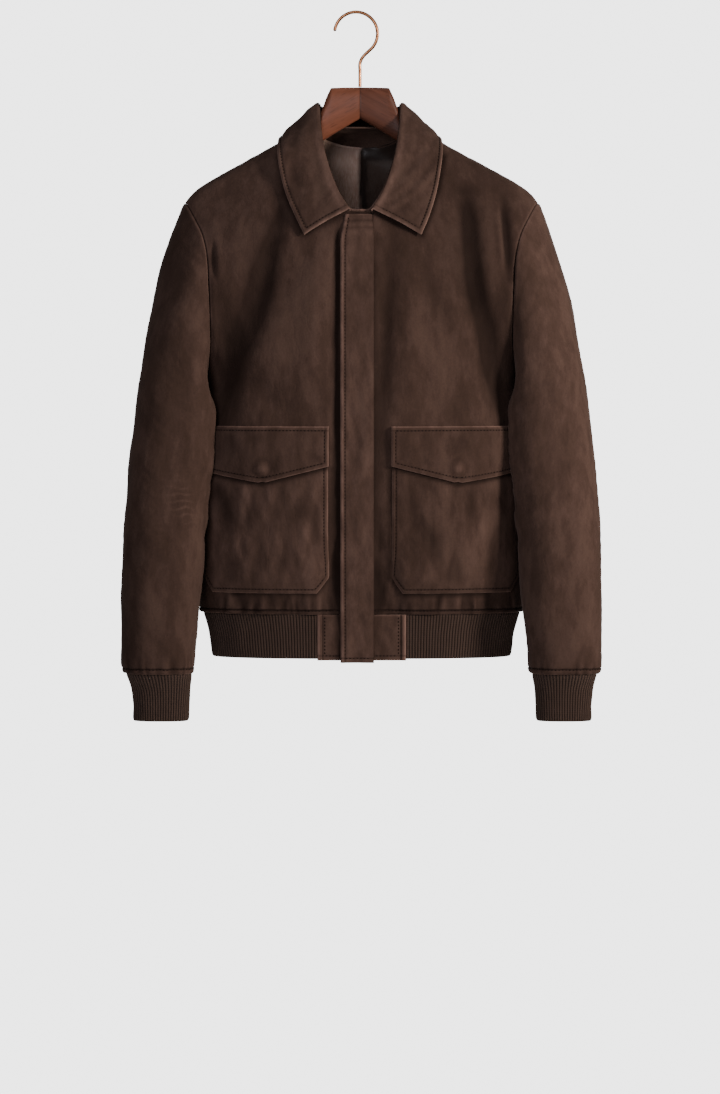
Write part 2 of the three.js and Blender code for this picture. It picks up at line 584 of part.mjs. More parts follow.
function addSleeve(name, side, levels) {
  const ring = armholeRing(side);
  const turns = ring.map((place, k) => (2 * Math.PI * k) / ring.length);
  const first = levels[0].at;
  const ends = turns.map((turn) => sleevePoint(levels, side, first, turn));
  const cap = SLEEVE_CAP_STEPS.map((part) => turns.map((turn, k) => (
    part === 0 ? ring[k] : capPoint(ring[k], ends[k], side, turn, part))));
  const arm = SLEEVE_DROPS.map((drop) => turns.map((turn) => sleevePoint(levels, side, drop, turn)));
  const rows = [...cap, ...arm].map((row) => [...row, row[0]]);
  addPiece(name, new Cloth(SUEDE).addRows(rows, side === RIGHT).geometry(), FINISH.suede);
}

function addCuff(name, side, levels) {
  const paths = [CUFF.top, 872, CUFF.bottom].map((drop) => steps(0, 2 * Math.PI, CUFF.ribs * 2)
    .map((turn) => sleevePoint(levels, side, drop, side * turn)));
  addPiece(name, ribbedBand(paths, CUFF.ribs, CUFF.relief, true), FINISH.rib);
}

// Hem

function hemPlace(side, x, drop) {
  const place = lowerPoint(true, side, drop, partAt(side, x, drop, HEM_LEVELS), HEM_LEVELS);
  return point(x, place.y, -drop);
}

// The line round the hem at a height, from the right tab round the back to the left one.
function hemPath(drop) {
  const rightStart = partAt(RIGHT, HEM.rightTabX, drop, HEM_LEVELS);
  const leftEnd = partAt(LEFT, HEM.leftTabX, drop, HEM_LEVELS);
  const runs = [
    [true, RIGHT, rightStart, 1], [false, RIGHT, 1, 0], [false, LEFT, 0, 1], [true, LEFT, 1, leftEnd],
  ];
  return runs.flatMap(([isFront, side, from, to], k) => steps(from, to, 24).slice(k > 0 ? 1 : 0)
    .map((part) => lowerPoint(isFront, side, drop, part, HEM_LEVELS)));
}

function addHem() {
  const top = HEM_DROP + SEAM_GAP;
  const paths = [top, 800, HEM.bottom].map(hemPath);
  addPiece('hem_rib', ribbedBand(paths, HEM.ribs, HEM.relief, false), FINISH.rib);
  const tabs = [
    { name: 'hem_tab_right', side: RIGHT, from: HEM.rightTabX + SEAM_GAP, to: UNDERLAP_X },
    { name: 'hem_tab_left', side: LEFT, from: FRONT_FLAT, to: HEM.leftTabX - SEAM_GAP },
  ];
  for (const tab of tabs) {
    const rows = [top, 795, 815, HEM.tabBottom].map((drop) => steps(tab.from, tab.to, 4)
      .map((x) => hemPlace(tab.side, x, drop)));
    addPiece(tab.name, new Cloth(SUEDE).addRows(rows, true).geometry(), FINISH.suede);
  }
}

// Placket over the closed front: it follows the flat strip and stands proud of it.
function addPlacket() {
  const centre = [];
  for (const at of [5, 6, 7, 8, 9]) {
    const row = read(FRONT_ROWS, at);
    centre.push({ y: row.neckY, drop: row.neckDrop });
  }
  centre[0].drop = PLACKET.top;
  for (const drop of LOWER_DROPS) centre.push({ y: SIDE_Y - read(BODY_LEVELS, drop).front, drop });
  for (const drop of [795, 815, PLACKET.bottom]) {
    centre.push({ y: SIDE_Y - read(HEM_LEVELS, drop).front, drop });
  }
  const rows = centre.map(({ y, drop }) => [PLACKET.freeX, -FRONT_FLAT, 0, PLACKET.seamX].map((x) => (
    point(x, y - PLACKET.proud + (x < -FRONT_FLAT ? 0.4 : 0), -drop))));
  addPiece('placket', new Cloth(SUEDE).addRows(rows, true).geometry(), FINISH.suede);
}

// Pockets and flaps, made from the front's own places moved out

const LOWER_FRONTS = new Map([RIGHT, LEFT].map((side) => (
  [side, panelRows(true, side).slice(UPPER_STEPS.length)])));

// A place on the flat faces of a front, moved out.
function onFront(side, part, drop, out) {
  const rows = LOWER_FRONTS.get(side);
  const next = clamp(LOWER_DROPS.findIndex((level) => level > drop), 1, LOWER_DROPS.length - 1);
  const down = (drop - LOWER_DROPS[next - 1]) / (LOWER_DROPS[next] - LOWER_DROPS[next - 1]);
  const column = Math.min(Math.floor(part * PANEL_COLUMNS + 1e-6), PANEL_COLUMNS - 1);
  const along = part * PANEL_COLUMNS - column;
  const [a, b] = [rows[next - 1][column], rows[next - 1][column + 1]];
  const [d, c] = [rows[next][column], rows[next][column + 1]];
  const place = a.clone();
  if (along >= down) place.addScaledVector(b.clone().sub(a), along).addScaledVector(c.clone().sub(b), down);
  else place.addScaledVector(d.clone().sub(a), down).addScaledVector(c.clone().sub(d), along);
  return place.addScaledVector(outOf(place.x, place.y), out);
}

// The panel's own columns between two places, with both ends.
function partsBetween(start, end, extra = []) {
  const own = steps(0, 1, PANEL_COLUMNS).slice(1, -2);
  return [start, ...[...own, ...extra].sort((a, b) => a - b), end];
}

function addPocket(name, side) {
  const own = LOWER_DROPS.filter((drop) => drop > POCKET.top && drop < POCKET.bottom);
  const drops = [POCKET.top, ...own, POCKET.cornerDrop, POCKET.bottom].sort((a, b) => a - b);
  const rows = drops.map((drop) => {
    const cut = POCKET.cut * clamp((drop - POCKET.cornerDrop) / (POCKET.bottom - POCKET.cornerDrop), 0, 1);
    const outerX = Math.abs(lowerPoint(true, side, drop, POCKET_END).x) - cut;
    const outer = cut > 0 ? partAt(side, outerX, drop) : POCKET_END;
    return partsBetween(partAt(side, POCKET.innerX + cut, drop), outer)
      .map((part) => onFront(side, part, drop, SUEDE + POCKET.proud));
  });
  addPiece(name, new Cloth(SUEDE).addRows(rows, side === LEFT).geometry(), FINISH.suede);
}

function flapBottom(x) {
  if (x < FLAP.pointX) {
    return mix(FLAP.innerDrop, FLAP.pointDrop, (x - FLAP.innerX) / (FLAP.pointX - FLAP.innerX));
  }
  return mix(FLAP.pointDrop, FLAP.outerDrop, (x - FLAP.pointX) / (FLAP.outerX - FLAP.pointX));
}

function addFlap(name, side) {
  const columns = partsBetween(partAt(side, FLAP.innerX, FLAP.top), POCKET_END, [0.295, 0.37]);
  const rows = FLAP_ROWS.map((down) => columns.map((part) => {
    const x = Math.abs(lowerPoint(true, side, FLAP.top, part).x);
    const drop = mix(FLAP.top, flapBottom(x), down);
    const away = Math.hypot(x - FLAP.pointX, drop - FLAP.bumpDrop) / FLAP.bumpRadius;
    const bump = FLAP.bumpHeight * clamp(1.4 * (1 - away), 0, 1);
    const lift = mix(SUEDE + POCKET.proud, SUEDE + FLAP.proud, clamp(down / FLAP_ROWS[1], 0, 1));
    return onFront(side, part, drop, lift + bump);
  }));
  addPiece(name, new Cloth(SUEDE).addRows(rows, side === LEFT).geometry(), FINISH.suede);
}

// Collar: both halves of a row, from the right front end round the back to the left one.
function roundNeck(stations, place) {
  const right = stations.slice().reverse().map((at) => place(at, RIGHT));
  const left = stations.slice(1).map((at) => place(at, LEFT));
  return [...right, ...left];
}

function standPlace(at, side, up) {
  const row = read(STAND_ROWS, at);
  const z = STAND_GAP - mix(row.seamDrop, row.topDrop, up);
  return point(side * mix(row.seamX, row.topX, up), mix(row.seamY, row.topY, up), z);
}

// A place on the fall: out and up of the stand's top, and the part of the way down to its edge.
function fallPlace(at, side, roll, down) {
  const row = read(FALL_ROWS, at);
  const fold = point(side * row.foldX, row.foldY, -row.foldDrop);
  const edge = point(side * row.edgeX, row.edgeY, -row.edgeDrop);
  const outward = edge.clone().sub(fold).setZ(0).normalize();
  const start = fold.addScaledVector(outward, roll.out).setZ(fold.z + roll.up);
  const belly = FALL_BELLY * Math.sin(Math.PI * down);
  return start.lerp(edge, down).addScaledVector(outward, belly * 0.6).add(point(0, 0, belly * 0.8));
}

function addCollar() {
  const stand = [1, 0.55, 0].map((up) => (
    roundNeck(STAND_STATIONS, (at, side) => standPlace(at, side, up))));
  addPiece('collar_stand', new Cloth(SUEDE).addRows(stand).geometry(), FINISH.suede);
  const fallRow = (roll, down) => roundNeck(NECK_STATIONS, (at, side) => fallPlace(at, side, roll, down));
  const rolled = FALL_ROLL.map((roll) => fallRow(roll, 0));
  const [lastRoll] = FALL_ROLL.slice(-1);
  const hanging = [0.25, 0.5, 0.75, 1].map((down) => fallRow(lastRoll, down));
  const fall = new Cloth(FALL_THICKNESS).addRows([...rolled, ...hanging]);
  addPiece('collar_fall', fall.geometry(), FINISH.suede);
}

// Lining of the back, one seam gap inside its panel, with a soft ridge for the centre pleat.
function addLining() {
  const parts = steps(0, 1, PANEL_COLUMNS).slice(0, 7);
  const panel = new Cloth(SUEDE + SEAM_GAP + 0.1);
  const halfRows = (side) => [1, 2, 3, 4, 5, 6]
    .map((at) => parts.map((part) => upperPoint(false, side, at, part)));
  panel.addRows(halfRows(RIGHT), true).addRows(halfRows(LEFT));
  const lining = new Cloth(SATIN);
  lining.points = panel.innerPoints();
  lining.faces = panel.faces;
  lining.points.filter((place) => Math.abs(place.x) < 1 && place.z < -172).forEach((place) => {
    place.y -= 3.5;
  });
  addPiece('back_lining', lining.geometry(), FINISH.satin);
}

function addLoop() {
  const rows = [0, 1].map((down) => steps(-1, 1, 8).map((part) => point(
    part * LOOP.halfLength,
    LOOP.y - LOOP.bow * Math.cos((part * Math.PI) / 2),
    -LOOP.topDrop - down * LOOP.height,
  )));
  addPiece('hanging_loop', new Cloth(LOOP.thickness).addRows(rows, true).geometry(), FINISH.suede);
}

// Hanger

// A closed body through rings of equal counts, with a fan over each end.
function loft(rings, turned) {
  const count = rings[0].length;
  const middle = (ring) => ring.reduce((sum, place) => sum.add(place), point(0, 0, 0)).divideScalar(count);
  const places = [...rings.flat(), middle(rings[0]), middle(rings[rings.length - 1])];
  const [headId, tailId] = [places.length - 2, places.length - 1];
  const triangles = [];
  for (let i = 0; i + 1 < rings.length; i += 1) {
    for (let j = 0; j < count; j += 1) {
      const [a, b] = [i * count + j, i * count + ((j + 1) % count)];
      triangles.push([a, b, b + count], [a, b + count, a + count]);
    }
  }
  const tail = (rings.length - 1) * count;
  for (let j = 0; j < count; j += 1) {
    const next = (j + 1) % count;
    triangles.push([next, j, headId], [tail + j, tail + next, tailId]);
  }
  return solidGeometry(places, turned ? triangles.map(([a, b, c]) => [a, c, b]) : triangles);
}

function addHangerArm(name, side) {
  const sides = 14;
  const rings = ARM_ROWS.map((row) => Array.from({ length: sides }, (_, k) => {
    const turn = (2 * Math.PI * (k + 0.5)) / sides;
    const y = row.y + row.deep * Math.cos(turn);
    const z = -(row.top + row.bottom) / 2 + ((row.bottom - row.top) / 2) * Math.sin(turn);
    return point(side * row.x, y, z);
  }));
  addPiece(name, loft(rings, side === RIGHT), FINISH.wood);
}

function hookPath() {
  const centreZ = -Math.sqrt((WIRE.bend - WIRE.radius) ** 2 - WIRE.centreX ** 2);
  const bend = steps(WIRE.tipTurn, WIRE.endTurn, 26).map((degrees) => point(
    WIRE.centreX + WIRE.bend * Math.cos(radians(degrees)),
    0,
    centreZ + WIRE.bend * Math.sin(radians(degrees)),
  ));
  const neck = [point(3.5, 0, -56), point(0, 0, -64), point(0, 0, -74), point(0, 0, -WIRE.stemBottom)];
  return new THREE.CatmullRomCurve3([...bend, ...neck], false, 'centripetal');
}

function addHook() {
  const section = new THREE.Shape();
  section.absarc(0, 0, WIRE.radius, 0, 2 * Math.PI, false);
  const wire = new THREE.ExtrudeGeometry(section, {
    steps: 44, curveSegments: 5, bevelEnabled: false, extrudePath: hookPath(),
  });
  addPiece('hook', wire, FINISH.copper);
}

addFronts();
addBack();
addPlacket();
addSleeve('sleeve_right', RIGHT, SLEEVE_RIGHT);
addSleeve('sleeve_left', LEFT, SLEEVE_LEFT);
addCuff('cuff_rib_right', RIGHT, CUFF_LEVELS_RIGHT);
addCuff('cuff_rib_left', LEFT, CUFF_LEVELS_LEFT);
addHem();
for (const [side, word] of [[RIGHT, 'right'], [LEFT, 'left']]) {
  addPocket(`pocket_${word}`, side);
  addFlap(`flap_${word}`, side);
  addHangerArm(`hanger_arm_${word}`, side);
}
addCollar();
addLining();
addLoop();
addHook();

export default jacket;
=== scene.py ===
"""A suede blouson on a wooden hanger, dressed for its looks.

Sizes are in millimetres in the row frame (+Z up, the front faces -Y, the wearer's right at -X) and
are turned to metres when a mesh is made. "Drop" is a height measured down from the hook.
"""
import logging
import math
from dataclasses import dataclass, field
from enum import Enum

import bpy
import numpy as np
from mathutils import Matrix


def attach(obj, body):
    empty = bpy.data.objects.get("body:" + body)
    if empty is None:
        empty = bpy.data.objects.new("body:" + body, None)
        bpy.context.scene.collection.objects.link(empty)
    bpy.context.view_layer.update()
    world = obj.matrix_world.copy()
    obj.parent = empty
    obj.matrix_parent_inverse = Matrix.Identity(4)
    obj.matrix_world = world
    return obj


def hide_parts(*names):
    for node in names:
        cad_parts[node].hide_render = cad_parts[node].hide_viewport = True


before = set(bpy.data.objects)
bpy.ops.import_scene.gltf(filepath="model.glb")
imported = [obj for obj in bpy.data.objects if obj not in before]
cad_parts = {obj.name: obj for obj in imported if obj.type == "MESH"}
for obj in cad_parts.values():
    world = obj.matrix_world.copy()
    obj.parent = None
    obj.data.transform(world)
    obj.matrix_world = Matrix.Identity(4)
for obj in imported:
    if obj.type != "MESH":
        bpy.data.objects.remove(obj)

Array = np.ndarray
Point = tuple[float, float, float]
Material = bpy.types.Material
Socket = bpy.types.NodeSocket
Inputs = dict[str | int, object] | tuple[object, ...]
LOG = logging.getLogger("blouson")

MM = 0.001
PHOTO_HEIGHT = 1094
MM_PER_PIXEL = 1.3
BODY = "root"
FORWARD = np.array([0.0, -1.0, 0.0])
SHARP_DEGREES = 55.0

SUEDE_THICK = 1.6
RIB_THICK = 1.6
SATIN_THICK = 1.0
TAPE_THICK = 0.8
COLLAR_THICK = 2.4
SEAM_GAP = 0.3
# How far the middle of a sewn edge and of a turned edge bulges out
SEWN_RIM, TURNED_RIM = 0.35, 0.4
SIDE_Y = 5.0
FRONT_FLAT = 18.4
LEFT_WIDER = 4.2
SQUARENESS = 0.82
CHEST_DROP = 500.0
HEM_DROP = 779.0
SLEEVE_END, CUFF_BOTTOM = 855.0, 916.5
HEM_BOTTOM = 837.0
TAB_BOTTOM = 839.0
PLACKET_FREE_X, PLACKET_SEAM_X = -25.3, 18.1
PLACKET_TOP, PLACKET_BOTTOM, PLACKET_PROUD = 262.5, 842.0, 2.2
UNDERLAP_X = 12.0
RIGHT_TAB_X, LEFT_TAB_X = -55.6, 60.0
POCKET_PROUD, FLAP_PROUD = 0.8, 3.4
POCKET_END = 7 / 9


class Side(Enum):
    """The wearer's side, with its sign along X."""

    RIGHT = -1
    LEFT = 1

    @property
    def word(self) -> str:
        """The side's word in a piece's name."""
        return self.name.lower()

    @property
    def wider(self) -> float:
        """How much further this half reaches: the jacket hangs a little to the wearer's left."""
        return LEFT_WIDER if self is Side.LEFT else 0.0


class Face(Enum):
    """Front or back of the body, with its sign along Y."""

    FRONT = -1
    BACK = 1


def mix(start: Array | float, end: Array | float, part: Array | float) -> Array | float:
    """The value a part of the way from start to end."""
    return start + (end - start) * part


def ramp(value: Array | float, low: float, high: float) -> Array:
    """0 below low, 1 above high and a smooth rise between them."""
    part = np.clip((np.asarray(value, float) - low) / (high - low), 0, 1)
    return part * part * (3 - 2 * part)


def signed_power(value: Array, power: float) -> Array:
    """A power of the value's size that keeps its sign."""
    return np.sign(value) * np.abs(value) ** power


def bump_at(away: Array, width: float) -> Array:
    """A soft hump of height 1 that is gone about two widths away."""
    return np.exp(-((away / width) ** 2))


def unit(vectors: Array) -> Array:
    """The vectors at length 1."""
    return vectors / np.maximum(np.linalg.norm(vectors, axis=-1, keepdims=True), 1e-9)


def stack(x: Array, y: Array, z: Array) -> Array:
    """Places from their three coordinates."""
    return np.stack(np.broadcast_arrays(x, y, z), axis=-1).astype(float)


def grown(length: float, step: float, ends: tuple[float, ...] = (0, 0.5, 1.2, 2.2, 3.4, 4.8)) -> Array:
    """Distances from 0 to length that are close together near both ends.

    Args:
        length: The whole length.
        step: The distance between places away from the ends.
        ends: The distances from an end that are always there.

    Returns:
        The distances in order.
    """
    near = np.array(ends)
    count = max(int(round((length - 2 * near[-1]) / step)), 1)
    middle = np.linspace(near[-1], length - near[-1], count + 1)[1:-1]
    return np.concatenate([near, middle, (length - near)[::-1]])


SEWN_EDGE = (0, 0.5, 1.2, 2.2, 3.4, 4.6, 5.4, 6.0, 6.8, 8.2)


class Table:
    """Rows of named sizes, read between its rows with a smooth curve through each column."""

    def __init__(self, names: str, *rows: tuple[float, ...]) -> None:
        """Keeps the rows; the first column is the key and rises."""
        self.names = names.split()
        self.rows = np.array(rows, float)

    def read(self, key: Array | float) -> dict[str, Array]:
        """Every column at a key.

        Args:
            key: One key or an array of them.

        Returns:
            Each column's name with its values.
        """
        key = np.asarray(key, float)
        keys = self.rows[:, 0]
        low = np.clip(np.searchsorted(keys, key, side="left") - 1, 0, len(keys) - 2)
        before, after = np.maximum(low - 1, 0), np.minimum(low + 2, len(keys) - 1)
        span = keys[low + 1] - keys[low]
        part = np.clip((key - keys[low]) / span, 0, 1)
        found = {}
        for index, name in enumerate(self.names):
            column = self.rows[:, index]
            leave = (column[low + 1] - column[before]) / (keys[low + 1] - keys[before]) * span
            arrive = (column[after] - column[low]) / (keys[after] - keys[low]) * span
            found[name] = hermite(column[low], leave, column[low + 1], arrive, part)
        return found


def hermite(start: Array, leave: Array, end: Array, arrive: Array, part: Array) -> Array:
    """A cubic from start to end with the given slopes at its ends."""
    square, cube = part * part, part ** 3
    return ((2 * cube - 3 * square + 1) * start + (cube - 2 * square + part) * leave
            + (3 * square - 2 * cube) * end + (cube - square) * arrive)


ROW_NAMES = "at neck_x neck_y neck_drop arm_x arm_y arm_drop turn swell"
UPPER = {
    Face.FRONT: Table(
        ROW_NAMES,
        (0, 67, 3, 145, 229, -4, 246, 40, 0),
        (0.5, 67, -10, 147.5, 224, -18, 250, 40, 1),
        (1, 65, -22, 166, 214, -32, 267, 42, 3),
        (2, 58, -40, 201, 203, -48, 290, 45, 6),
        (3, 47, -55, 230, 197, -59, 318, 48, 8),
        (4, 32, -66, 250, 194.6, -67, 353, 50, 8),
        (5, 18.4, -73, 261, 193.4, -71, 390, 54, 8),
        (6, 18.4, -89, 325, 193, -67, 428, 60, 6),
        (7, 18.4, -100, 388, 196, -49, 460, 70, 4),
        (8, 18.4, -106, 446, 200, -23, 482, 81, 2),
        (9, 18.4, -108, 500, 204, 5, 492, 90, 0),
    ),
    Face.BACK: Table(
        ROW_NAMES,
        (0, 67, 3, 145, 229, -4, 246, 40, 0),
        (0.5, 66, 16, 147, 225, 10, 249, 40, 1),
        (1, 61, 29, 152, 217, 24, 264, 42, 3),
        (2, 46, 44, 161, 208, 42, 288, 46, 5),
        (3, 25, 54, 167, 202, 56, 318, 50, 7),
        (4, 0, 58, 169, 199, 66, 353, 54, 8),
        (5, 0, 74, 225, 198, 71, 390, 58, 8),
        (6, 0, 87, 290, 198, 68, 428, 64, 6),
        (7, 0, 95, 360, 200, 52, 460, 72, 4),
        (8, 0, 98, 430, 202, 29, 482, 82, 2),
        (9, 0, 97, 500, 204, 5, 492, 90, 0),
    ),
}
BODY_LEVELS = Table(
    "at half front back",
    (492, 204, 113, 92), (535, 207, 112, 90), (600, 209, 108, 85), (670, 210, 101, 80),
    (720, 211.5, 93, 75), (757, 212, 84, 68), (779, 209, 78, 62),
)
HEM_LEVELS = Table(
    "at half front back",
    (779, 206, 76, 60), (802, 199.5, 72, 56), (825, 196, 70, 54), (839, 194, 69, 53),
)


@dataclass(frozen=True)
class Fold:
    """A soft trough between two places of a face; a ridge has a depth below 0."""

    x: float
    drop: float
    end_x: float
    end_drop: float
    width: float
    depth: float

    def at(self, x: Array, drop: Array) -> Array:
        """How deep the fold is at places of the face."""
        run_x, run_drop = self.end_x - self.x, self.end_drop - self.drop
        along = ((x - self.x) * run_x + (drop - self.drop) * run_drop) / (run_x ** 2 + run_drop ** 2)
        near = np.clip(along, 0, 1)
        away = np.hypot(x - self.x - run_x * near, drop - self.drop - run_drop * near)
        fade = np.sin(math.pi * np.clip(along, 0.04, 0.96)) ** 0.5
        return self.depth * fade * bump_at(away, self.width)


def folds(*rows: tuple[float, ...]) -> tuple[Fold, ...]:
    """Folds from rows of x, drop, end x, end drop, width and depth."""
    return tuple(Fold(*row) for row in rows)


# The large folds, which the solids have too
FOLDS = {
    Face.FRONT: folds(
        (34, 700, 52, 790, 11, 7), (-33, 690, -46, 785, 10, 6), (-150, 470, -90, 530, 22, 4),
        (150, 470, 95, 525, 22, 4), (-110, 330, -172, 420, 20, 4), (112, 335, 174, 425, 20, 4),
    ),
    Face.BACK: folds(
        (-120, 420, -60, 560, 26, 5), (118, 430, 66, 575, 26, 5), (-20, 560, -8, 740, 24, 4),
        (90, 620, 110, 760, 20, 4), (-96, 640, -120, 765, 20, 4),
    ),
}
# Small folds of the cloth alone
FINE_FOLDS = {
    Face.FRONT: folds(
        (-118, 275, -190, 560, 17, 4.6), (-52, 275, -66, 500, 17, -3.2), (-34, 300, -30, 560, 8, 1.6),
        (44, 280, 20, 620, 10, 3.4), (66, 285, 58, 540, 17, -3.0), (138, 232, 150, 380, 12, 5.6),
        (148, 340, 184, 530, 13, 6.0), (-98, 235, -140, 430, 13, 4.4), (-190, 300, -188, 342, 3.0, 3.2),
        (-183, 306, -180, 350, 6, -1.6), (187, 238, 193, 345, 7, 5.2), (177, 250, 184, 335, 5, -2.6),
        (20, 712, 37, 783, 6, 3.4), (22, 630, 31, 765, 5, 2.8), (32, 640, 43, 765, 5, -2.0),
        (34, 712, 48, 780, 5, -1.6), (-185, 360, -160, 470, 12, 1.6), (186, 350, 160, 465, 12, 1.8),
        (-60, 300, -130, 420, 16, 1.2), (66, 300, 128, 430, 16, 1.3), (-120, 752, -112, 775, 6, 1.8),
        (-96, 756, -100, 776, 5, 2.0), (-160, 748, -150, 776, 7, 1.8), (104, 752, 96, 776, 6, 1.9),
        (138, 754, 142, 776, 5, 1.7), (170, 748, 164, 776, 7, 1.8), (-40, 640, -60, 700, 10, 1.2),
        (-188, 560, -182, 680, 10, 1.5), (188, 560, 183, 690, 10, 1.5),
    ),
    Face.BACK: folds(
        (-170, 330, -120, 440, 14, 1.6), (168, 330, 122, 450, 14, 1.6), (-60, 240, -20, 330, 18, 1.2),
        (60, 250, 25, 340, 18, 1.2), (-140, 740, -130, 775, 8, 1.8), (-60, 745, -52, 776, 7, 1.8),
        (24, 742, 30, 776, 7, 1.8), (80, 740, 72, 776, 8, 1.8), (150, 742, 146, 776, 7, 1.8),
    ),
}


@dataclass(frozen=True)
class Waves:
    """A few crossing waves with fixed phases: an uneven, soft relief of about unit height."""

    seed: int
    length: float
    count: int = 7

    def at(self, across: Array, down: Array) -> Array:
        """The relief at places of a surface, both in millimetres."""
        draw = np.random.default_rng(self.seed)
        total = np.zeros(np.broadcast(across, down).shape)
        for _ in range(self.count):
            heading, phase = draw.uniform(0, 2 * math.pi, 2)
            pitch = 2 * math.pi / (self.length * draw.uniform(0.7, 1.6))
            total += np.sin(pitch * (across * math.cos(heading) + down * math.sin(heading)) + phase)
        return total / self.count ** 0.5


def out_of(x: Array, y: Array) -> Array:
    """The horizontal direction out of a body section at places on it."""
    square_x = signed_power(np.asarray(x) / 208, 1.44)
    square_y = signed_power((np.asarray(y) - SIDE_Y) / 100, 1.44)
    return unit(stack(square_x / 208, square_y / 100, np.zeros_like(square_x)))


class Torso:
    """The body's surface: panels above and below the underarm with their folds."""

    GATHERS = 26
    GATHER_START = 722.0

    def _draped(self, face: Face, x: Array, y: Array, drop: Array, gather: Array | float) -> Array:
        """Places with the face's folds taken off along the outward direction."""
        depth = gather + sum(fold.at(x, drop) for fold in FOLDS[face])
        seed = 3 if face is Face.FRONT else 8
        depth += 0.9 * Waves(seed, 95).at(x, drop * 0.7) * ramp(drop, 250, 330)
        depth = depth * np.clip((210 - np.abs(x)) / 30, 0, 1)
        return stack(x, y, -drop) - out_of(x, y) * depth[..., None]

    def upper(self, face: Face, side: Side, at: Array, part: Array) -> Array:
        """Places above the underarm.

        Args:
            face: Front or back.
            side: The wearer's side.
            at: 0 at the shoulder seam to 9 at the underarm.
            part: 0 at the neck or the centre to 1 at the armhole.

        Returns:
            The places.
        """
        row = UPPER[face].read(at)
        power = mix(1, SQUARENESS, np.asarray(at) / 9)
        turn = np.radians(row["turn"])
        across = (np.sin(turn * part) / np.sin(turn)) ** power
        closing = np.maximum(np.cos(turn), 0) ** power
        deep = (np.maximum(np.cos(turn * part), 0) ** power - closing) / (1 - closing)
        x = side.value * mix(row["neck_x"], row["arm_x"] + side.wider, across)
        y = mix(row["arm_y"], row["neck_y"], deep) + face.value * row["swell"] * np.sin(math.pi * part)
        fade = np.maximum(1 - np.asarray(at) / 4, 0) ** 2
        bow = 12 * fade * across * (1 - across ** 14)
        return self._draped(face, x, y, mix(row["neck_drop"], row["arm_drop"], across) - bow, 0.0)

    def lower(self, face: Face, side: Side, drop: Array, part: Array, levels: Table = BODY_LEVELS) -> Array:
        """Places below the underarm, or of the hem where its levels are given."""
        level = levels.read(drop)
        turn = np.asarray(part) * (math.pi / 2)
        flat = FRONT_FLAT if face is Face.FRONT else 0.0
        x = side.value * mix(flat, level["half"] + side.wider, np.sin(turn) ** SQUARENESS)
        depth = level["front"] if face is Face.FRONT else level["back"]
        y = SIDE_Y + face.value * depth * np.maximum(np.cos(turn), 0) ** SQUARENESS
        if levels is not BODY_LEVELS:
            return stack(x, y, -np.asarray(drop, float))
        grown_part = np.clip((drop - self.GATHER_START) / (HEM_DROP - self.GATHER_START), 0, 1) ** 2
        wave = side.value * part * self.GATHERS
        gather = 1.6 * grown_part * (np.sin(wave) + 0.6 * np.sin(wave * 2.3 + 1.1 * face.value))
        return self._draped(face, x, y, np.asarray(drop, float) + 0 * x, gather)

    def panel(self, face: Face, side: Side, rows: Array, drops: Array, parts: Array) -> Array:
        """A half panel as one grid.

        Args:
            face: Front or back.
            side: The wearer's side.
            rows: The upper rows' keys, ending at 9.
            drops: The lower rows' heights, each below the last upper row.
            parts: The columns' parts of the way outward.

        Returns:
            The places, from the shoulder seam down.
        """
        upper = self.upper(face, side, rows[:, None], parts[None, :])
        end = -upper[-1:, :, 2]
        fade = 1 - np.clip((drops[:, None] - CHEST_DROP) / 35, 0, 1)
        levels = drops[:, None] + (end - CHEST_DROP) * fade
        lower = self.lower(face, side, levels, parts[None, :])
        step = upper[-1:] - self.lower(face, side, end, parts[None, :])
        return np.concatenate([upper, lower + step * fade[..., None]])

    def part_at(self, side: Side, x: Array, drop: Array, levels: Table = BODY_LEVELS) -> Array:
        """The part of the way outward at which a front section has a given x."""
        half = levels.read(drop)["half"] + side.wider
        across = np.clip((np.abs(x) - FRONT_FLAT) / (half - FRONT_FLAT), 0, 1)
        return np.arcsin(across ** (1 / SQUARENESS)) / (math.pi / 2)

    def reach(self, side: Side, y: Array, drop: Array) -> Array:
        """How far out the body's side comes at a depth, 0 where it isn't met."""
        level = BODY_LEVELS.read(drop)
        ahead = y < SIDE_Y
        deep = np.abs(y - SIDE_Y) / np.where(ahead, level["front"], level["back"])
        sine = np.sqrt(np.clip(1 - np.clip(deep, 0, 1) ** (2 / SQUARENESS), 0, 1))
        reach = mix(np.where(ahead, FRONT_FLAT, 0.0), level["half"] + side.wider, sine ** SQUARENESS)
        return np.where((deep < 1) & (drop <= HEM_DROP), reach, 0.0)


TORSO = Torso()


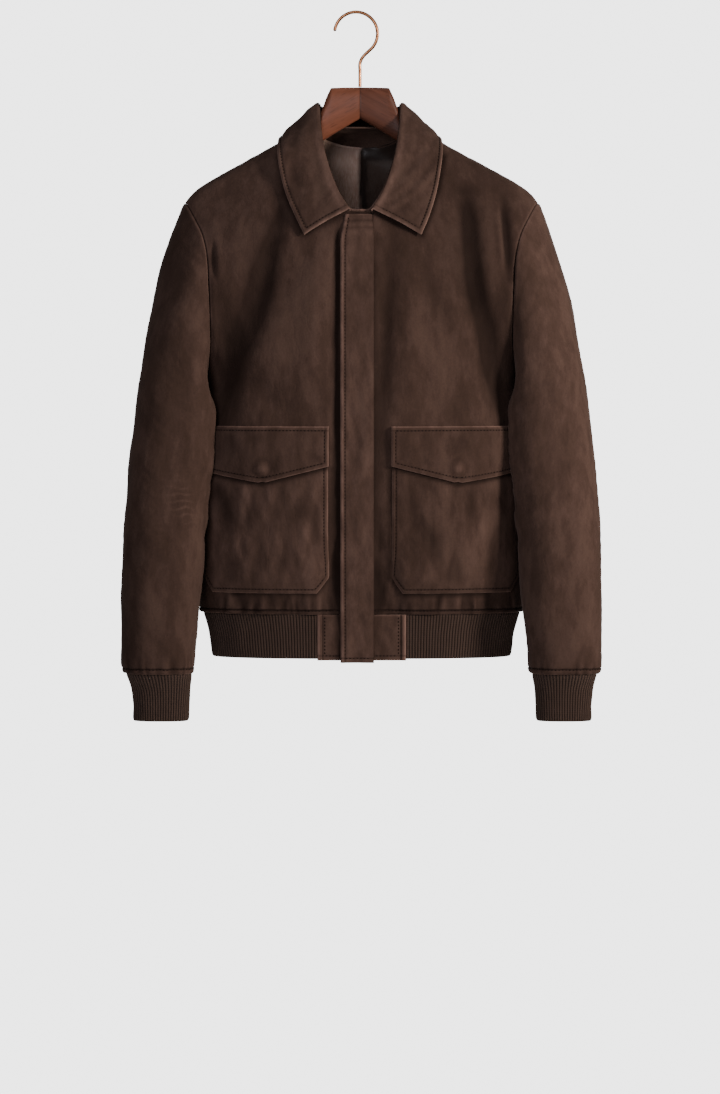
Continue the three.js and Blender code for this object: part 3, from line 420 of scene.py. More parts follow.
class Sleeves:
    """The sleeves' and cuffs' sections, with the elbow creases."""

    CLEARANCE = 10.5
    NAMES = "at inner outer deep middle_y"
    ARM = {
        Side.RIGHT: Table(
            NAMES,
            (520, 180, 293, 128, -30), (570, 183, 299, 126, -36), (632, 192, 304.5, 122, -44),
            (700, 201, 308, 114, -52), (762, 207, 309, 103, -58), (820, 213, 309, 90, -62),
            (845, 214, 308, 82, -63), (855, 216, 305, 76, -63),
        ),
        Side.LEFT: Table(
            NAMES,
            (520, 185, 298, 128, -30), (570, 188, 304, 126, -36), (632, 197, 309.5, 122, -44),
            (700, 205, 313, 114, -52), (762, 208.5, 314, 103, -58), (820, 217, 313, 90, -62),
            (845, 219, 312, 82, -63), (855, 221, 309, 76, -63),
        ),
    }
    CUFF = {
        Side.RIGHT: Table(
            NAMES, (855, 217.5, 303.6, 73, -63), (878, 219.5, 296, 54, -63), (916.5, 221.5, 294, 48, -63),
        ),
        Side.LEFT: Table(
            NAMES, (855, 222.5, 307.6, 73, -63), (878, 226, 302, 54, -63), (916.5, 228, 300, 48, -63),
        ),
    }
    # Elbow creases: drop at the front and at the back, half width and depth
    CREASES = ((600, 622, 12, 2.4), (640, 625, 13, 3), (668, 690, 12, 2.2))

    def _creases(self, drop: Array, turn: Array) -> Array:
        """How deep the elbow's creases are."""
        depth = np.zeros(np.broadcast(drop, turn).shape)
        for front, back, width, deep in self.CREASES:
            level = mix(back, front, (1 + np.sin(turn)) / 2)
            depth += deep * bump_at(drop - level, width) * (0.55 - 0.45 * np.cos(turn))
        return depth

    def section(self, table: Table, side: Side, drop: Array, turn: Array) -> Array:
        """Places on a section.

        Args:
            table: The levels of an arm or a cuff.
            side: The wearer's side.
            drop: The heights.
            turn: Radians from the outer edge round by the front.

        Returns:
            The places.
        """
        level = table.read(drop)
        depth = self._creases(drop, turn)
        half = (level["outer"] - level["inner"]) / 2 - depth
        x = (level["outer"] + level["inner"]) / 2 + half * signed_power(np.cos(turn), 0.8)
        y = level["middle_y"] - (level["deep"] / 2 - depth) * signed_power(np.sin(turn), 0.8)
        x = np.maximum(x, TORSO.reach(side, y, drop) + self.CLEARANCE)
        return stack(side.value * x, y, -np.asarray(drop, float))

    def armhole(self, side: Side, turn: Array) -> Array:
        """Places on the armhole's seam, one seam gap out, for turns round the sleeve."""
        steps = np.array([0, 0.5, 1, 2, 3, 4, 5, 6, 7, 8, 9.0])
        round_way = np.asarray(turn) / (2 * math.pi) * 20
        ahead = round_way <= 10
        at = np.interp(np.where(ahead, round_way, 20 - round_way), np.arange(11), steps)
        front = TORSO.upper(Face.FRONT, side, at, np.ones_like(at))
        back = TORSO.upper(Face.BACK, side, at, np.ones_like(at))
        places = np.where(ahead[..., None], front, back)
        places[..., 0] += side.value * SEAM_GAP
        return places

    def allowance(self, side: Side, turn: Array) -> Array:
        """The seam allowance inside the armhole: three rings that close the seam from behind."""
        ring = self.armhole(side, turn)
        inward = unit(stack(0 * turn, 3 - ring[..., 1], -370 - ring[..., 2]))
        return ring + inward * 2.55 + stack(side.value * np.array([0.2, -3, -7]), 0, 0)[:, None]

    def cap(self, side: Side, turn: Array, part: Array) -> Array:
        """Places between the armhole (0) and the first level section (1)."""
        start = self.armhole(side, turn)
        end = self.section(self.ARM[side], side, 520.0 + 0 * turn, turn)
        top = (1 + np.cos(turn)) / 2
        reach = np.linalg.norm(end - start, axis=-1)
        leave = unit(stack(side.value * mix(0.25, 0.42, top), -0.5 * np.sin(turn), -mix(1, 0.92, top)))
        leave = leave * reach[..., None]
        arrive = stack(side.value * reach * mix(0.06, 0.13, top), -6 + 0 * reach, -reach)
        return hermite(start, leave, end, arrive, np.asarray(part)[..., None])


SLEEVES = Sleeves()


class FrontChart:
    """Flat coordinates of a front: how far round from the centre strip, and the drop.

    Pockets, flaps and stitches are laid out in it and then set on the panel.
    """

    STEP = 4.0
    REACH = 0.01

    def __init__(self, side: Side) -> None:
        """Measures the front's rows on one side."""
        self.side = side
        self.parts = np.linspace(0, 1, 181)
        self.drops = np.arange(CHEST_DROP, HEM_DROP + 2, self.STEP)
        grid = TORSO.lower(Face.FRONT, side, self.drops[:, None], self.parts[None, :])
        self.lengths = run_lengths(grid, 1)

    def part(self, around: Array, drop: Array) -> Array:
        """The part of the way outward for distances round from the centre strip."""
        around, drop = np.broadcast_arrays(np.asarray(around, float), np.asarray(drop, float))
        row = np.clip((drop - self.drops[0]) / self.STEP, 0, len(self.drops) - 1.001)
        low = row.astype(int)
        found = []
        for near in (low, low + 1):
            flat = [np.interp(a, self.lengths[k], self.parts) for a, k in zip(around.ravel(), near.ravel())]
            found.append(np.array(flat).reshape(around.shape))
        return mix(found[0], found[1], row - low)

    def end(self, drop: Array) -> Array:
        """The distance round at which the pocket ends."""
        flat = [np.interp(POCKET_END, self.parts, row) for row in self.lengths]
        return np.interp(drop, self.drops, flat)

    def place(self, around: Array, drop: Array, out: Array | float = 0.0) -> Array:
        """Places on the front, moved out along its normal."""
        around, drop = np.broadcast_arrays(np.asarray(around, float), np.asarray(drop, float))
        part = self.part(around, drop)
        base = TORSO.lower(Face.FRONT, self.side, drop, part)
        base[..., 0] = np.where(around < 0, self.side.value * (FRONT_FLAT - around), base[..., 0])
        beyond = np.minimum(part + self.REACH, 1)
        ahead = TORSO.lower(Face.FRONT, self.side, drop, beyond)
        below = TORSO.lower(Face.FRONT, self.side, drop + 2, part)
        start = TORSO.lower(Face.FRONT, self.side, drop, beyond - 2 * self.REACH)
        normal = unit(np.cross(below - base, ahead - start)) * self.side.value
        normal[..., 1] = -np.abs(normal[..., 1])
        return base + normal * np.asarray(out)[..., None]


def off_line(x: Array, drop: Array, corners: tuple[tuple[float, float], ...]) -> Array:
    """How far places of a face lie from a line through corners, given as x and drop."""
    away = np.full(np.broadcast(x, drop).shape, np.inf)
    for (start_x, start_drop), (end_x, end_drop) in zip(corners[:-1], corners[1:]):
        run_x, run_drop = end_x - start_x, end_drop - start_drop
        along = ((x - start_x) * run_x + (drop - start_drop) * run_drop) / (run_x ** 2 + run_drop ** 2)
        near = np.clip(along, 0, 1)
        away = np.minimum(away, np.hypot(x - start_x - run_x * near, drop - start_drop - run_drop * near))
    return away


def area_of(grid: Array) -> float:
    """The area of a grid's faces."""
    ahead, back = grid[1:, 1:] - grid[:-1, :-1], grid[1:, :-1] - grid[:-1, 1:]
    return float(np.linalg.norm(np.cross(ahead, back), axis=-1).sum() / 2)


def run_lengths(grid: Array, axis: int) -> Array:
    """How far each place of a grid is from the start of its row (axis 1) or its column (axis 0)."""
    steps = np.linalg.norm(np.diff(grid, axis=axis), axis=-1)
    start = np.zeros_like(grid[..., 0]).take([0], axis=axis)
    return np.concatenate([start, np.cumsum(steps, axis=axis)], axis=axis)


def from_low(grid: Array) -> Array:
    """How far each place of a grid is from the end of its column."""
    return run_lengths(grid[::-1], 0)[::-1]


def line_lengths(path: Array) -> Array:
    """How far each place of a line is from its start."""
    return np.concatenate([[0], np.cumsum(np.linalg.norm(np.diff(path, axis=0), axis=1))])


def read_along(lengths: Array, values: Array, where: Array) -> Array:
    """Places or directions, known at some lengths along a line, read at other lengths."""
    return np.stack([np.interp(where, lengths, values[:, axis]) for axis in range(3)], axis=-1)


def nearest(values: Array, wanted: float) -> int:
    """The index of the value nearest to the wanted one."""
    return int(np.argmin(np.abs(values - wanted)))


def normals_of(grid: Array, turned: bool = False, closed: bool = False) -> Array:
    """Outward directions of a grid's places; a closed grid's last column is its first one."""
    around = np.concatenate([grid[:, -2:-1], grid, grid[:, 1:2]], axis=1) if closed else grid
    normal = unit(np.cross(np.gradient(around, axis=1), np.gradient(around, axis=0)))
    normal = normal[:, 1:-1] if closed else normal
    return -normal if turned else normal


def raised(grid: Array, height: Array | float, turned: bool = False, closed: bool = False) -> Array:
    """The grid moved out along its own directions."""
    height = np.broadcast_to(height, grid.shape[:2])[..., None]
    return grid + normals_of(grid, turned, closed) * height


def edge_relief(away: Array, stitch: float | None = None, puff: float = 0.35, groove: float = 0.45) -> Array:
    """The height of cloth near an edge: rounded off, full as far as the stitch line, and drawn in there.

    Args:
        away: The distance from the edge.
        stitch: How far in a stitch line runs, or None.
        puff: The height of the fullness before the stitch line.
        groove: The depth of the stitch line.

    Returns:
        The height.
    """
    height = -0.9 * (1 - ramp(away, -0.2, 1.7))
    if stitch is None:
        return height
    full = np.where(away < stitch, np.sin(math.pi * np.clip(away / stitch, 0, 1)), 0.0)
    return height + puff * full - groove * bump_at(away - stitch, 0.8)


class Wall:
    """A wall of cloth: outer faces from grids of places, an inner face and a soft rim."""

    def __init__(self, thickness: float, rim: float = 0.0) -> None:
        """Starts an empty wall.

        Args:
            thickness: The wall's thickness.
            rim: How far the middle of its rim bulges out, for a turned edge.
        """
        self.thickness = thickness
        self.rim = rim
        self.places: list[Array] = []
        self.faces: list[Array] = []
        self.values: dict[str, list[Array]] = {}
        self.count = 0
        self.cut = (0.0, 0.0, 0.0)

    def add(self, grid: Array, turned: bool = False, tape: float = 0.0, beside: bool = False,
            **values: Array | float) -> "Wall":
        """Adds a grid of outer places.

        Args:
            grid: Rows of places.
            turned: True where rows and columns give an inward normal.
            tape: The thickness of a seam allowance, which isn't part of the cut that shows.
            beside: True where it lies beside an earlier grid, so that it adds no length to the cut.
            values: Numbers for each place, kept as attributes.

        Returns:
            The wall itself.
        """
        values["thick"] = tape or self.thickness
        rows, columns = grid.shape[:2]
        ids = self.count + np.arange(rows * columns).reshape(rows, columns)
        quads = np.stack([ids[:-1, :-1], ids[:-1, 1:], ids[1:, 1:], ids[1:, :-1]], axis=-1).reshape(-1, 4)
        self.faces.append(quads[:, ::-1] if turned else quads)
        self.places.append(grid.reshape(-1, 3))
        for name, value in values.items():
            value = np.clip(value, 0, 1) if name in ("wear", "fold") else value
            self.values.setdefault(name, []).append(np.broadcast_to(value, (rows, columns)).reshape(-1))
        self.count += rows * columns
        if tape:
            return self
        across = np.linalg.norm(np.diff(grid, axis=1), axis=-1).sum(axis=1)
        down = np.linalg.norm(np.diff(grid, axis=0), axis=-1).sum(axis=0)
        length = self.cut[1] + (0.0 if beside else down.max())
        self.cut = (max(self.cut[0], across.max()), length, self.cut[2] + area_of(grid))
        return self

    def tape(self, grid: Array, turned: bool, fold: float = 0.9) -> None:
        """Adds a seam allowance, which closes a seam from behind."""
        # A seam allowance is painted in shade, near black
        self.add(grid, turned, tape=TAPE_THICK, wear=0.0, fold=fold)

    def _welded(self) -> tuple[Array, Array, dict[str, Array]]:
        """Places, quads and values with equal places joined."""
        places, quads = np.concatenate(self.places), np.concatenate(self.faces)
        _, first, back = np.unique(np.round(places * 50).astype(np.int64), axis=0,
                                   return_index=True, return_inverse=True)
        values = {name: np.concatenate(value)[first] for name, value in self.values.items()}
        return places[first], back.reshape(-1)[quads], values

    @staticmethod
    def _normals(places: Array, quads: Array) -> Array:
        """Outward directions of the places."""
        corners = places[quads]
        faces = np.cross(corners[:, 2] - corners[:, 0], corners[:, 3] - corners[:, 1])
        total = np.zeros_like(places)
        for corner in range(4):
            np.add.at(total, quads[:, corner], faces)
        return unit(total)

    def build(self, name: str, finish: Material) -> bpy.types.Object:
        """Makes the object.

        Args:
            name: The piece's name.
            finish: Its material.

        Returns:
            The new object, riding on the body.
        """
        places, quads, values = self._welded()
        normals = self._normals(places, quads)
        thick = values.pop("thick")[:, None]
        inner = places - normals * thick
        count = len(places)
        edges = np.concatenate([quads[:, [k, (k + 1) % 4]] for k in range(4)])
        key = edges[:, 0].astype(np.int64) * count + edges[:, 1]
        rim = edges[~np.isin(key, edges[:, 1].astype(np.int64) * count + edges[:, 0])]
        rim = rim[rim[:, 0] != rim[:, 1]]
        sets = [quads, quads[:, ::-1] + count]
        everything = [places, inner]
        if self.rim > 0:
            used, local = np.unique(rim, return_inverse=True)
            local = local.reshape(rim.shape)
            along = unit(places[rim[:, 1]] - places[rim[:, 0]])
            outward = np.zeros((len(used), 3))
            for corner in range(2):
                np.add.at(outward, local[:, corner], np.cross(along, normals[rim[:, corner]]))
            middle = (places[used] + inner[used]) / 2 + unit(outward) * self.rim
            everything.append(middle)
            ids = local + 2 * count
            sets.append(np.stack([rim[:, 1], rim[:, 0], ids[:, 0], ids[:, 1]], axis=1))
            sets.append(np.stack([ids[:, 1], ids[:, 0], rim[:, 0] + count, rim[:, 1] + count], axis=1))
            values = {key: np.concatenate([value, value, value[used]]) for key, value in values.items()}
        else:
            sets.append(np.stack([rim[:, 1], rim[:, 0], rim[:, 0] + count, rim[:, 1] + count], axis=1))
            values = {key: np.concatenate([value, value]) for key, value in values.items()}
        return make_object(name, np.concatenate(everything), np.concatenate(sets), finish, values)

    def finish(self, name: str, finish: Material, slot: str, node: str) -> None:
        """Args:
            name: The piece's name.
            finish: Its material.
            slot: Not used.
            node: The solid that it stands for.
        """
        piece = self.build(name, finish)
        width, length, area = (size * unit_size for size, unit_size in zip(self.cut, (MM, MM, MM * MM)))
        min(area, width * length)
        LOG.info("%s: cut %.0f by %.0f mm, %.4f m2", name, width / MM, length / MM, area)
        dressed(piece, slot, node)


def make_object(name: str, places: Array, quads: Array, finish: Material,
                values: dict[str, Array] | None = None) -> bpy.types.Object:
    """Makes a mesh object that rides on the body.

    Args:
        name: The object's name.
        places: The vertices, in millimetres.
        quads: The faces, four vertices each; a face with two equal vertices is a triangle.
        finish: The material.
        values: Numbers for each vertex, kept as attributes.

    Returns:
        The object.
    """
    mesh = bpy.data.meshes.new(name)
    faces = [list(dict.fromkeys(face)) for face in quads.tolist()]
    mesh.from_pydata((places * MM).tolist(), [], [face for face in faces if len(face) > 2])
    for key, value in (values or {}).items():
        mesh.attributes.new(key, "FLOAT", "POINT").data.foreach_set("value", value.astype(np.float32))
    mesh.shade_smooth()
    mesh.set_sharp_from_angle(angle=math.radians(SHARP_DEGREES))
    mesh.materials.append(finish)
    piece = bpy.data.objects.new(name, mesh)
    bpy.context.scene.collection.objects.link(piece)
    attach(piece, BODY)
    return piece


# Finishes


def linear(colour: str) -> tuple[float, float, float, float]:
    """An sRGB hex colour as linear light."""
    parts = [int(colour[k:k + 2], 16) / 255 for k in (1, 3, 5)]
    return (*[part / 12.92 if part <= 0.04045 else ((part + 0.055) / 1.055) ** 2.4 for part in parts], 1.0)


# Inputs in order: a TexNoise has its place, W, scale, detail and roughness, a MapRange its value, the
# range that it comes from and the range that it goes to. A Mix node mixes the colours in its inputs 6
# and 7, by the share in its input 0.
COLOURS = {"out": 2, "data_type": "RGBA"}


def patches(size_mm: float) -> float:
    """The scale of a noise whose patches are about size_mm across."""
    return 1000 / (2.2 * size_mm)


def add_node(tree: bpy.types.NodeTree, kind: str, inputs: Inputs = (), out: str | int = 0,
             **settings: object) -> Socket | None:
    """Adds a node with its settings, its values and its links.

    Args:
        tree: The node tree.
        kind: The node's type.
        inputs: A value, a hex colour or an output socket for each input, by name or number or in their
            order; None leaves an input as it is.
        out: The name or number of the output that is given back.
        settings: The node's own settings.

    Returns:
        That output, or None where the node has no outputs.
    """
    node = tree.nodes.new("ShaderNode" + kind)
    for name, value in settings.items():
        setattr(node, name, value)
    for name, value in (inputs if isinstance(inputs, dict) else dict(enumerate(inputs))).items():
        if isinstance(value, Socket):
            tree.links.new(value, node.inputs[name])
        elif value is not None:
            node.inputs[name].default_value = linear(value) if isinstance(value, str) else value
    return node.outputs[out] if node.outputs else None


class Shader:
    """A material's node tree."""

    def __init__(self, name: str) -> None:
        """Starts a material."""
        self.material = bpy.data.materials.new(name)
        self.material.use_nodes = True
        self.tree = self.material.node_tree
        self.tree.nodes.clear()
        self.place = self.add("TexCoord", out="Object")

    def add(self, kind: str, inputs: Inputs = (), out: str | int = 0, **settings: object) -> Socket | None:
        """Adds a node to the material."""
        return add_node(self.tree, kind, inputs, out, **settings)

    def done(self, colour: object, roughness: object, normal: object | None = None,
             **constants: object) -> Material:
        """Ends the tree with its surface.

        Args:
            colour: The base colour.
            roughness: The roughness.
            normal: The normal.
            constants: Values for more of the surface's inputs, by name.

        Returns:
            The material.
        """
        inputs = {name.replace("_", " "): value for name, value in constants.items()}
        inputs |= {"Base Color": colour, "Roughness": roughness, "Normal": normal}
        self.add("OutputMaterial", {"Surface": self.add("BsdfPrincipled", inputs)})
        return self.material


@dataclass(frozen=True)
class SplitSuede:
    """Calf suede: the sanded flesh side of a split hide.

    Its short nap scatters light, so it is matt and glows a little at grazing angles. Strokes leave the
    nap lying this way and that, which shows as lighter and darker patches. Turned edges are scuffed
    paler and redder, and the same paler tone is painted on some parts as painted light. Painted shade
    darkens the colour toward near black in folds, seam grooves, gaps and cast shadows.
    """

    base: str = "#392a24"
    dark: str = "#2f221c"
    light: str = "#43332c"
    scuffed_and_lit: str = "#6a5249"
    shaded: str = "#120a07"
    glow: str = "#a8938a"

    def material(self) -> Material:
        """The suede's material."""
        shader = Shader("calf_suede")
        add, place = shader.add, shader.place
        # Strokes run mostly down the panels, so the patches are longer than they are wide
        down = add("Mapping", {"Vector": place, "Rotation": (0.0, 0.14, 0.0), "Scale": (1.0, 1.0, 0.36)})
        slant = add("Mapping", {"Vector": place, "Rotation": (0.0, -0.7, 0.0), "Scale": (1.0, 1.0, 0.42)})
        patch = add("MapRange", (add("TexNoise", (down, None, patches(26), 3.0, 0.55)), 0.34, 0.66))
        mottle = add("MapRange", (add("TexNoise", (slant, None, patches(5.5), 4.0, 0.62)), 0.3, 0.7))
        # Nap is finer than a render pixel, so its grain is drawn at 1.3 mm
        nap = add("TexNoise", (place, None, patches(1.3), 3.0, 0.7))
        some = add("Math", (mottle, 0.45), operation="MULTIPLY")
        lay = add("Math", (patch, 0.55, some), operation="MULTIPLY_ADD")
        colour = add("Mix", {0: add("MapRange", (lay, 0.1, 0.6)), 6: self.dark, 7: self.base}, **COLOURS)
        colour = add("Mix", {0: add("MapRange", (lay, 0.45, 1.0)), 6: colour, 7: self.light}, **COLOURS)
        speck = add("MapRange", (nap, 0.3, 0.7, 0.9, 1.1))
        colour = add("Mix", {0: 1.0, 6: colour, 7: speck}, blend_type="MULTIPLY", **COLOURS)
        # Paler, redder tone: scuffed edges, and painted light on some parts
        wear_and_light_share = add("Attribute", out="Fac", attribute_name="wear")
        uneven = add("MapRange", (mottle, 0.0, 1.0, 0.4, 1.0))
        wear_and_light_share = add("Math", (wear_and_light_share, uneven), operation="MULTIPLY")
        colour = add("Mix", {0: wear_and_light_share, 6: colour, 7: self.scuffed_and_lit}, **COLOURS)
        # Painted shade: the fold attribute darkens the colour toward near black in folds, seam grooves, gaps
        # and cast shadows
        deep = add("Attribute", out="Fac", attribute_name="fold")
        deep = add("Math", (deep, 0.86), operation="MULTIPLY")
        colour = add("Mix", {0: deep, 6: colour, 7: self.shaded}, **COLOURS)
        # Fine creases: the narrow places where a soft noise passes its middle
        crossing = add("TexNoise", (slant, None, patches(13), 2.0, 0.55))
        crossing = add("Math", (add("Math", (crossing, 0.5), operation="SUBTRACT"),), operation="ABSOLUTE")
        normal = None
        for height, distance_mm, strength in (
                (add("MapRange", (crossing, 0.0, 0.035)), 0.3, 0.35), (mottle, 0.4, 0.7), (nap, 0.14, 0.5)):
            normal = add("Bump", {"Height": height, "Distance": distance_mm * MM, "Strength": strength,
                                  "Normal": normal})
        return shader.done(colour, add("MapRange", (nap, 0.3, 0.7, 0.84, 0.96)), normal, IOR=1.4,
                           Specular_IOR_Level=0.1, Sheen_Weight=0.1, Sheen_Roughness=0.4,
                           Sheen_Tint=self.glow)


@dataclass(frozen=True)
class RibKnit:
    """Wool and polyamide rib knit, one by one, from a flat knitting machine.

    Each rib is a column of V-shaped stitches that stands up between deep, shaded grooves.
    """

    wale: str = "#31241e"
    groove: str = "#130d0a"
    lit: str = "#3f3029"
    fuzz: str = "#8d7769"
    stitch_mm: float = 2.4

    def material(self) -> Material:
        """The knit's material."""
        shader = Shader("wool_rib_knit")
        add, place = shader.add, shader.place
        across = add("Math", (add("Attribute", out="Fac", attribute_name="rib_u"),), operation="FRACT")
        across = add("Math", (across, 0.5), operation="SUBTRACT")
        side = add("Math", (across,), operation="ABSOLUTE")
        # A stitch of the knit is 1.2 mm tall, drawn at twice that to show
        rows = add("Attribute", out="Fac", attribute_name="rib_v")
        rows = add("Math", (rows, self.stitch_mm), operation="DIVIDE")
        slant = add("Math", (side, 1.5, rows), operation="MULTIPLY_ADD")
        vees = add("Math", (add("Math", (slant, 2 * math.pi), operation="MULTIPLY"),), operation="SINE")
        vees = add("MapRange", (vees, -1.0, 1.0))
        high = add("MapRange", (side, 0.16, 0.44, 1.0, 0.0))
        yarn = add("TexNoise", (place, None, patches(0.7), 3.0, 0.7))
        cloud = add("TexNoise", (place, None, patches(18), 3.0, 0.55))
        patch = add("MapRange", (cloud, 0.35, 0.65, 0.45, 1.0))
        lit = add("Math", (add("Math", (high, vees), operation="MULTIPLY"), patch), operation="MULTIPLY")
        lit = add("Math", (lit, 0.8), operation="MULTIPLY")
        colour = add("Mix", {0: high, 6: self.groove, 7: self.wale}, **COLOURS)
        colour = add("Mix", {0: lit, 6: colour, 7: self.lit}, **COLOURS)
        fleck = add("MapRange", (yarn, 0.3, 0.7, 0.75, 1.25))
        colour = add("Mix", {0: 1.0, 6: colour, 7: fleck}, blend_type="MULTIPLY", **COLOURS)
        normal = add("Bump", {"Height": vees, "Distance": 0.4 * MM, "Strength": 0.8})
        normal = add("Bump", {"Height": yarn, "Distance": 0.25 * MM, "Strength": 0.7, "Normal": normal})
        return shader.done(colour, add("MapRange", (yarn, 0.3, 0.7, 0.8, 0.95)), normal, IOR=1.45,
                           Specular_IOR_Level=0.15, Sheen_Weight=0.22, Sheen_Roughness=0.5,
                           Sheen_Tint=self.fuzz)


@dataclass(frozen=True)
class SatinLining:
    """Viscose satin: long floats of smooth yarn, woven and calendered.

    It is sleek. Soft streaks of light along its floats are painted lighter into its colour, its drapes
    are painted in patches of a darker shade tone, and shade is painted near black in the pleat's slit
    and over the half in the collar's shade.
    """

    base: str = "#a98d7e"
    shade: str = "#927567"
    glow: str = "#b8a293"
    shaded: str = "#120c0a"
    sheen: str = "#a08d7e"
    thread_mm: float = 0.8

    def material(self) -> Material:
        """The satin's material."""
        shader = Shader("viscose_satin")
        add, place = shader.add, shader.place
        # Painted shade: patches of a darker tone for the drapes
        drape = add("MapRange", (add("TexNoise", (place, None, patches(20), 2.0, 0.55)), 0.35, 0.65))
        long = add("Mapping", {"Vector": place, "Scale": (1.0, 1.0, 0.06)})
        floats = add("TexNoise", (long, None, patches(self.thread_mm), 2.0, 0.55))
        # Painted highlight: streaks of light along the floats
        painted_streak_light = add("MapRange", (floats, 0.4, 0.75, 0.0, 0.5))
        # Painted shade from the fold attribute, near black
        deep = add("Attribute", out="Fac", attribute_name="fold")
        deep = add("Math", (deep, 0.97), operation="MULTIPLY")
        colour = add("Mix", {0: drape, 6: self.shade, 7: self.base}, **COLOURS)
        colour = add("Mix", {0: painted_streak_light, 6: colour, 7: self.glow}, **COLOURS)
        colour = add("Mix", {0: deep, 6: colour, 7: self.shaded}, **COLOURS)
        normal = add("Bump", {"Height": floats, "Distance": 0.08 * MM, "Strength": 0.5})
        return shader.done(colour, add("MapRange", (drape, 0.0, 1.0, 0.38, 0.5)), normal, IOR=1.5,
                           Specular_IOR_Level=0.15, Anisotropic=0.5, Sheen_Weight=0.05,
                           Sheen_Tint=self.sheen)


@dataclass(frozen=True)
class StainedBeech:
    """Steamed beech, sanded, stained dark walnut and sprayed with a satin lacquer.

    The stain settles in the pores as short dark streaks along the grain, and the lacquer gives a soft
    gloss over it.
    """

    pale: str = "#6b3f2e"
    deep: str = "#5a3526"
    pore: str = "#29160f"

    def material(self, name: str, slope_degrees: float) -> Material:
        """The wood's material.

        Args:
            name: The material's name.
            slope_degrees: How far the grain turns from level, about Y.

        Returns:
            The material.
        """
        shader = Shader(name)
        add = shader.add
        turned = add("VectorRotate", {"Vector": shader.place, "Axis": (0.0, 1.0, 0.0),
                                      "Angle": math.radians(slope_degrees)}, rotation_type="AXIS_ANGLE")
        # Beech grain lines are 2 to 6 mm apart and its pores 0.5 mm wide and 3 to 8 mm long
        along = add("Mapping", {"Vector": turned, "Scale": (0.07, 1.0, 1.0)})
        short = add("Mapping", {"Vector": turned, "Scale": (0.1, 1.0, 1.0)})
        grain = add("TexNoise", (along, None, patches(3.2), 4.0, 0.6))
        wide = add("TexNoise", (along, None, patches(9), 2.0, 0.55))
        pores = add("TexNoise", (short, None, patches(0.8), 2.0, 0.55))
        # Painted shade: the fold attribute darkens the mitre valley toward the pore colour
        deep = add("Attribute", out="Fac", attribute_name="fold")
        deep = add("Math", (deep, 0.6), operation="MULTIPLY")
        colour = self.deep
        for share, tone in ((add("MapRange", (grain, 0.32, 0.68)), self.pale),
                            (add("MapRange", (wide, 0.4, 0.7, 0.0, 0.45)), self.deep),
                            (add("MapRange", (pores, 0.56, 0.72, 0.0, 0.45)), self.pore), (deep, self.pore)):
            colour = add("Mix", {0: share, 6: colour, 7: tone}, **COLOURS)
        normal = add("Bump", {"Height": grain, "Distance": 0.12 * MM, "Strength": 0.4})
        return shader.done(colour, add("MapRange", (grain, 0.3, 0.7, 0.36, 0.48)), normal, IOR=1.5,
                           Specular_IOR_Level=0.12, Coat_Weight=0.05, Coat_Roughness=0.35)


@dataclass(frozen=True)
class CopperedWire:
    """Copper plated steel wire, drawn and bent.

    Its plating is bright and a little dulled where it is handled, with fine drawing lines.
    """

    metal: str = "#a5714f"
    dull: str = "#78503a"

    def material(self) -> Material:
        """The wire's material."""
        shader = Shader("copper_plated_wire")
        add, place = shader.add, shader.place
        dulled = add("MapRange", (add("TexNoise", (place, None, patches(6), 3.0, 0.55)), 0.4, 0.7))
        lines = add("TexNoise", (place, None, patches(0.5), 2.0, 0.55))
        return shader.done(
            add("Mix", {0: dulled, 6: self.metal, 7: self.dull}, **COLOURS),
            add("MapRange", (dulled, 0.0, 1.0, 0.24, 0.42)),
            add("Bump", {"Height": lines, "Distance": 0.03 * MM, "Strength": 0.4}), Metallic=1.0)


@dataclass(frozen=True)
class SewingThread:
    """Core-spun polyester thread, twisted and sunk into the suede; its colour is painted much darker than the
    suede's, as painted shade of the stitch holes.
    """

    base: str = "#1d130f"
    dark: str = "#110a08"

    def material(self) -> Material:
        """The thread's material."""
        shader = Shader("polyester_thread")
        add = shader.add
        twist = add("MapRange", (add("TexNoise", (shader.place, None, patches(0.6), 1.0, 0.55)), 0.35, 0.65))
        return shader.done(
            add("Mix", {0: twist, 6: self.dark, 7: self.base}, **COLOURS),
            add("MapRange", (twist, 0.0, 1.0, 0.75, 0.9)),
            add("Bump", {"Height": twist, "Distance": 0.1 * MM, "Strength": 0.6}),
            IOR=1.4, Specular_IOR_Level=0.1)


# Pieces


def dressed(piece: bpy.types.Object, slot: str, *nodes: str) -> None:
    """Hides the solids that a piece stands for and reports the piece."""
    if nodes:
        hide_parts(*nodes)
    LOG.info("%s: %d faces", piece.name, len(piece.data.polygons))


def contour(grid: Array, away: Array, level: float) -> Array:
    """The line across a grid on which a distance, falling along each column, has a value."""
    places = []
    for column in range(grid.shape[1]):
        fall = away[::-1, column]
        places.append([np.interp(level, fall, grid[::-1, column, axis]) for axis in range(3)])
    return np.array(places)


# The faces of a stitch: three bands of six, and the hexagon at each end as two
STITCH_FACES = np.array(
    [(6 * ring + k, 6 * ring + (k + 1) % 6, 6 * ring + (k + 1) % 6 + 6, 6 * ring + k + 6)
     for ring in range(3) for k in range(6)]
    + [(5, 4, 3, 2), (5, 2, 1, 0), (18, 19, 20, 21), (18, 21, 22, 23)])


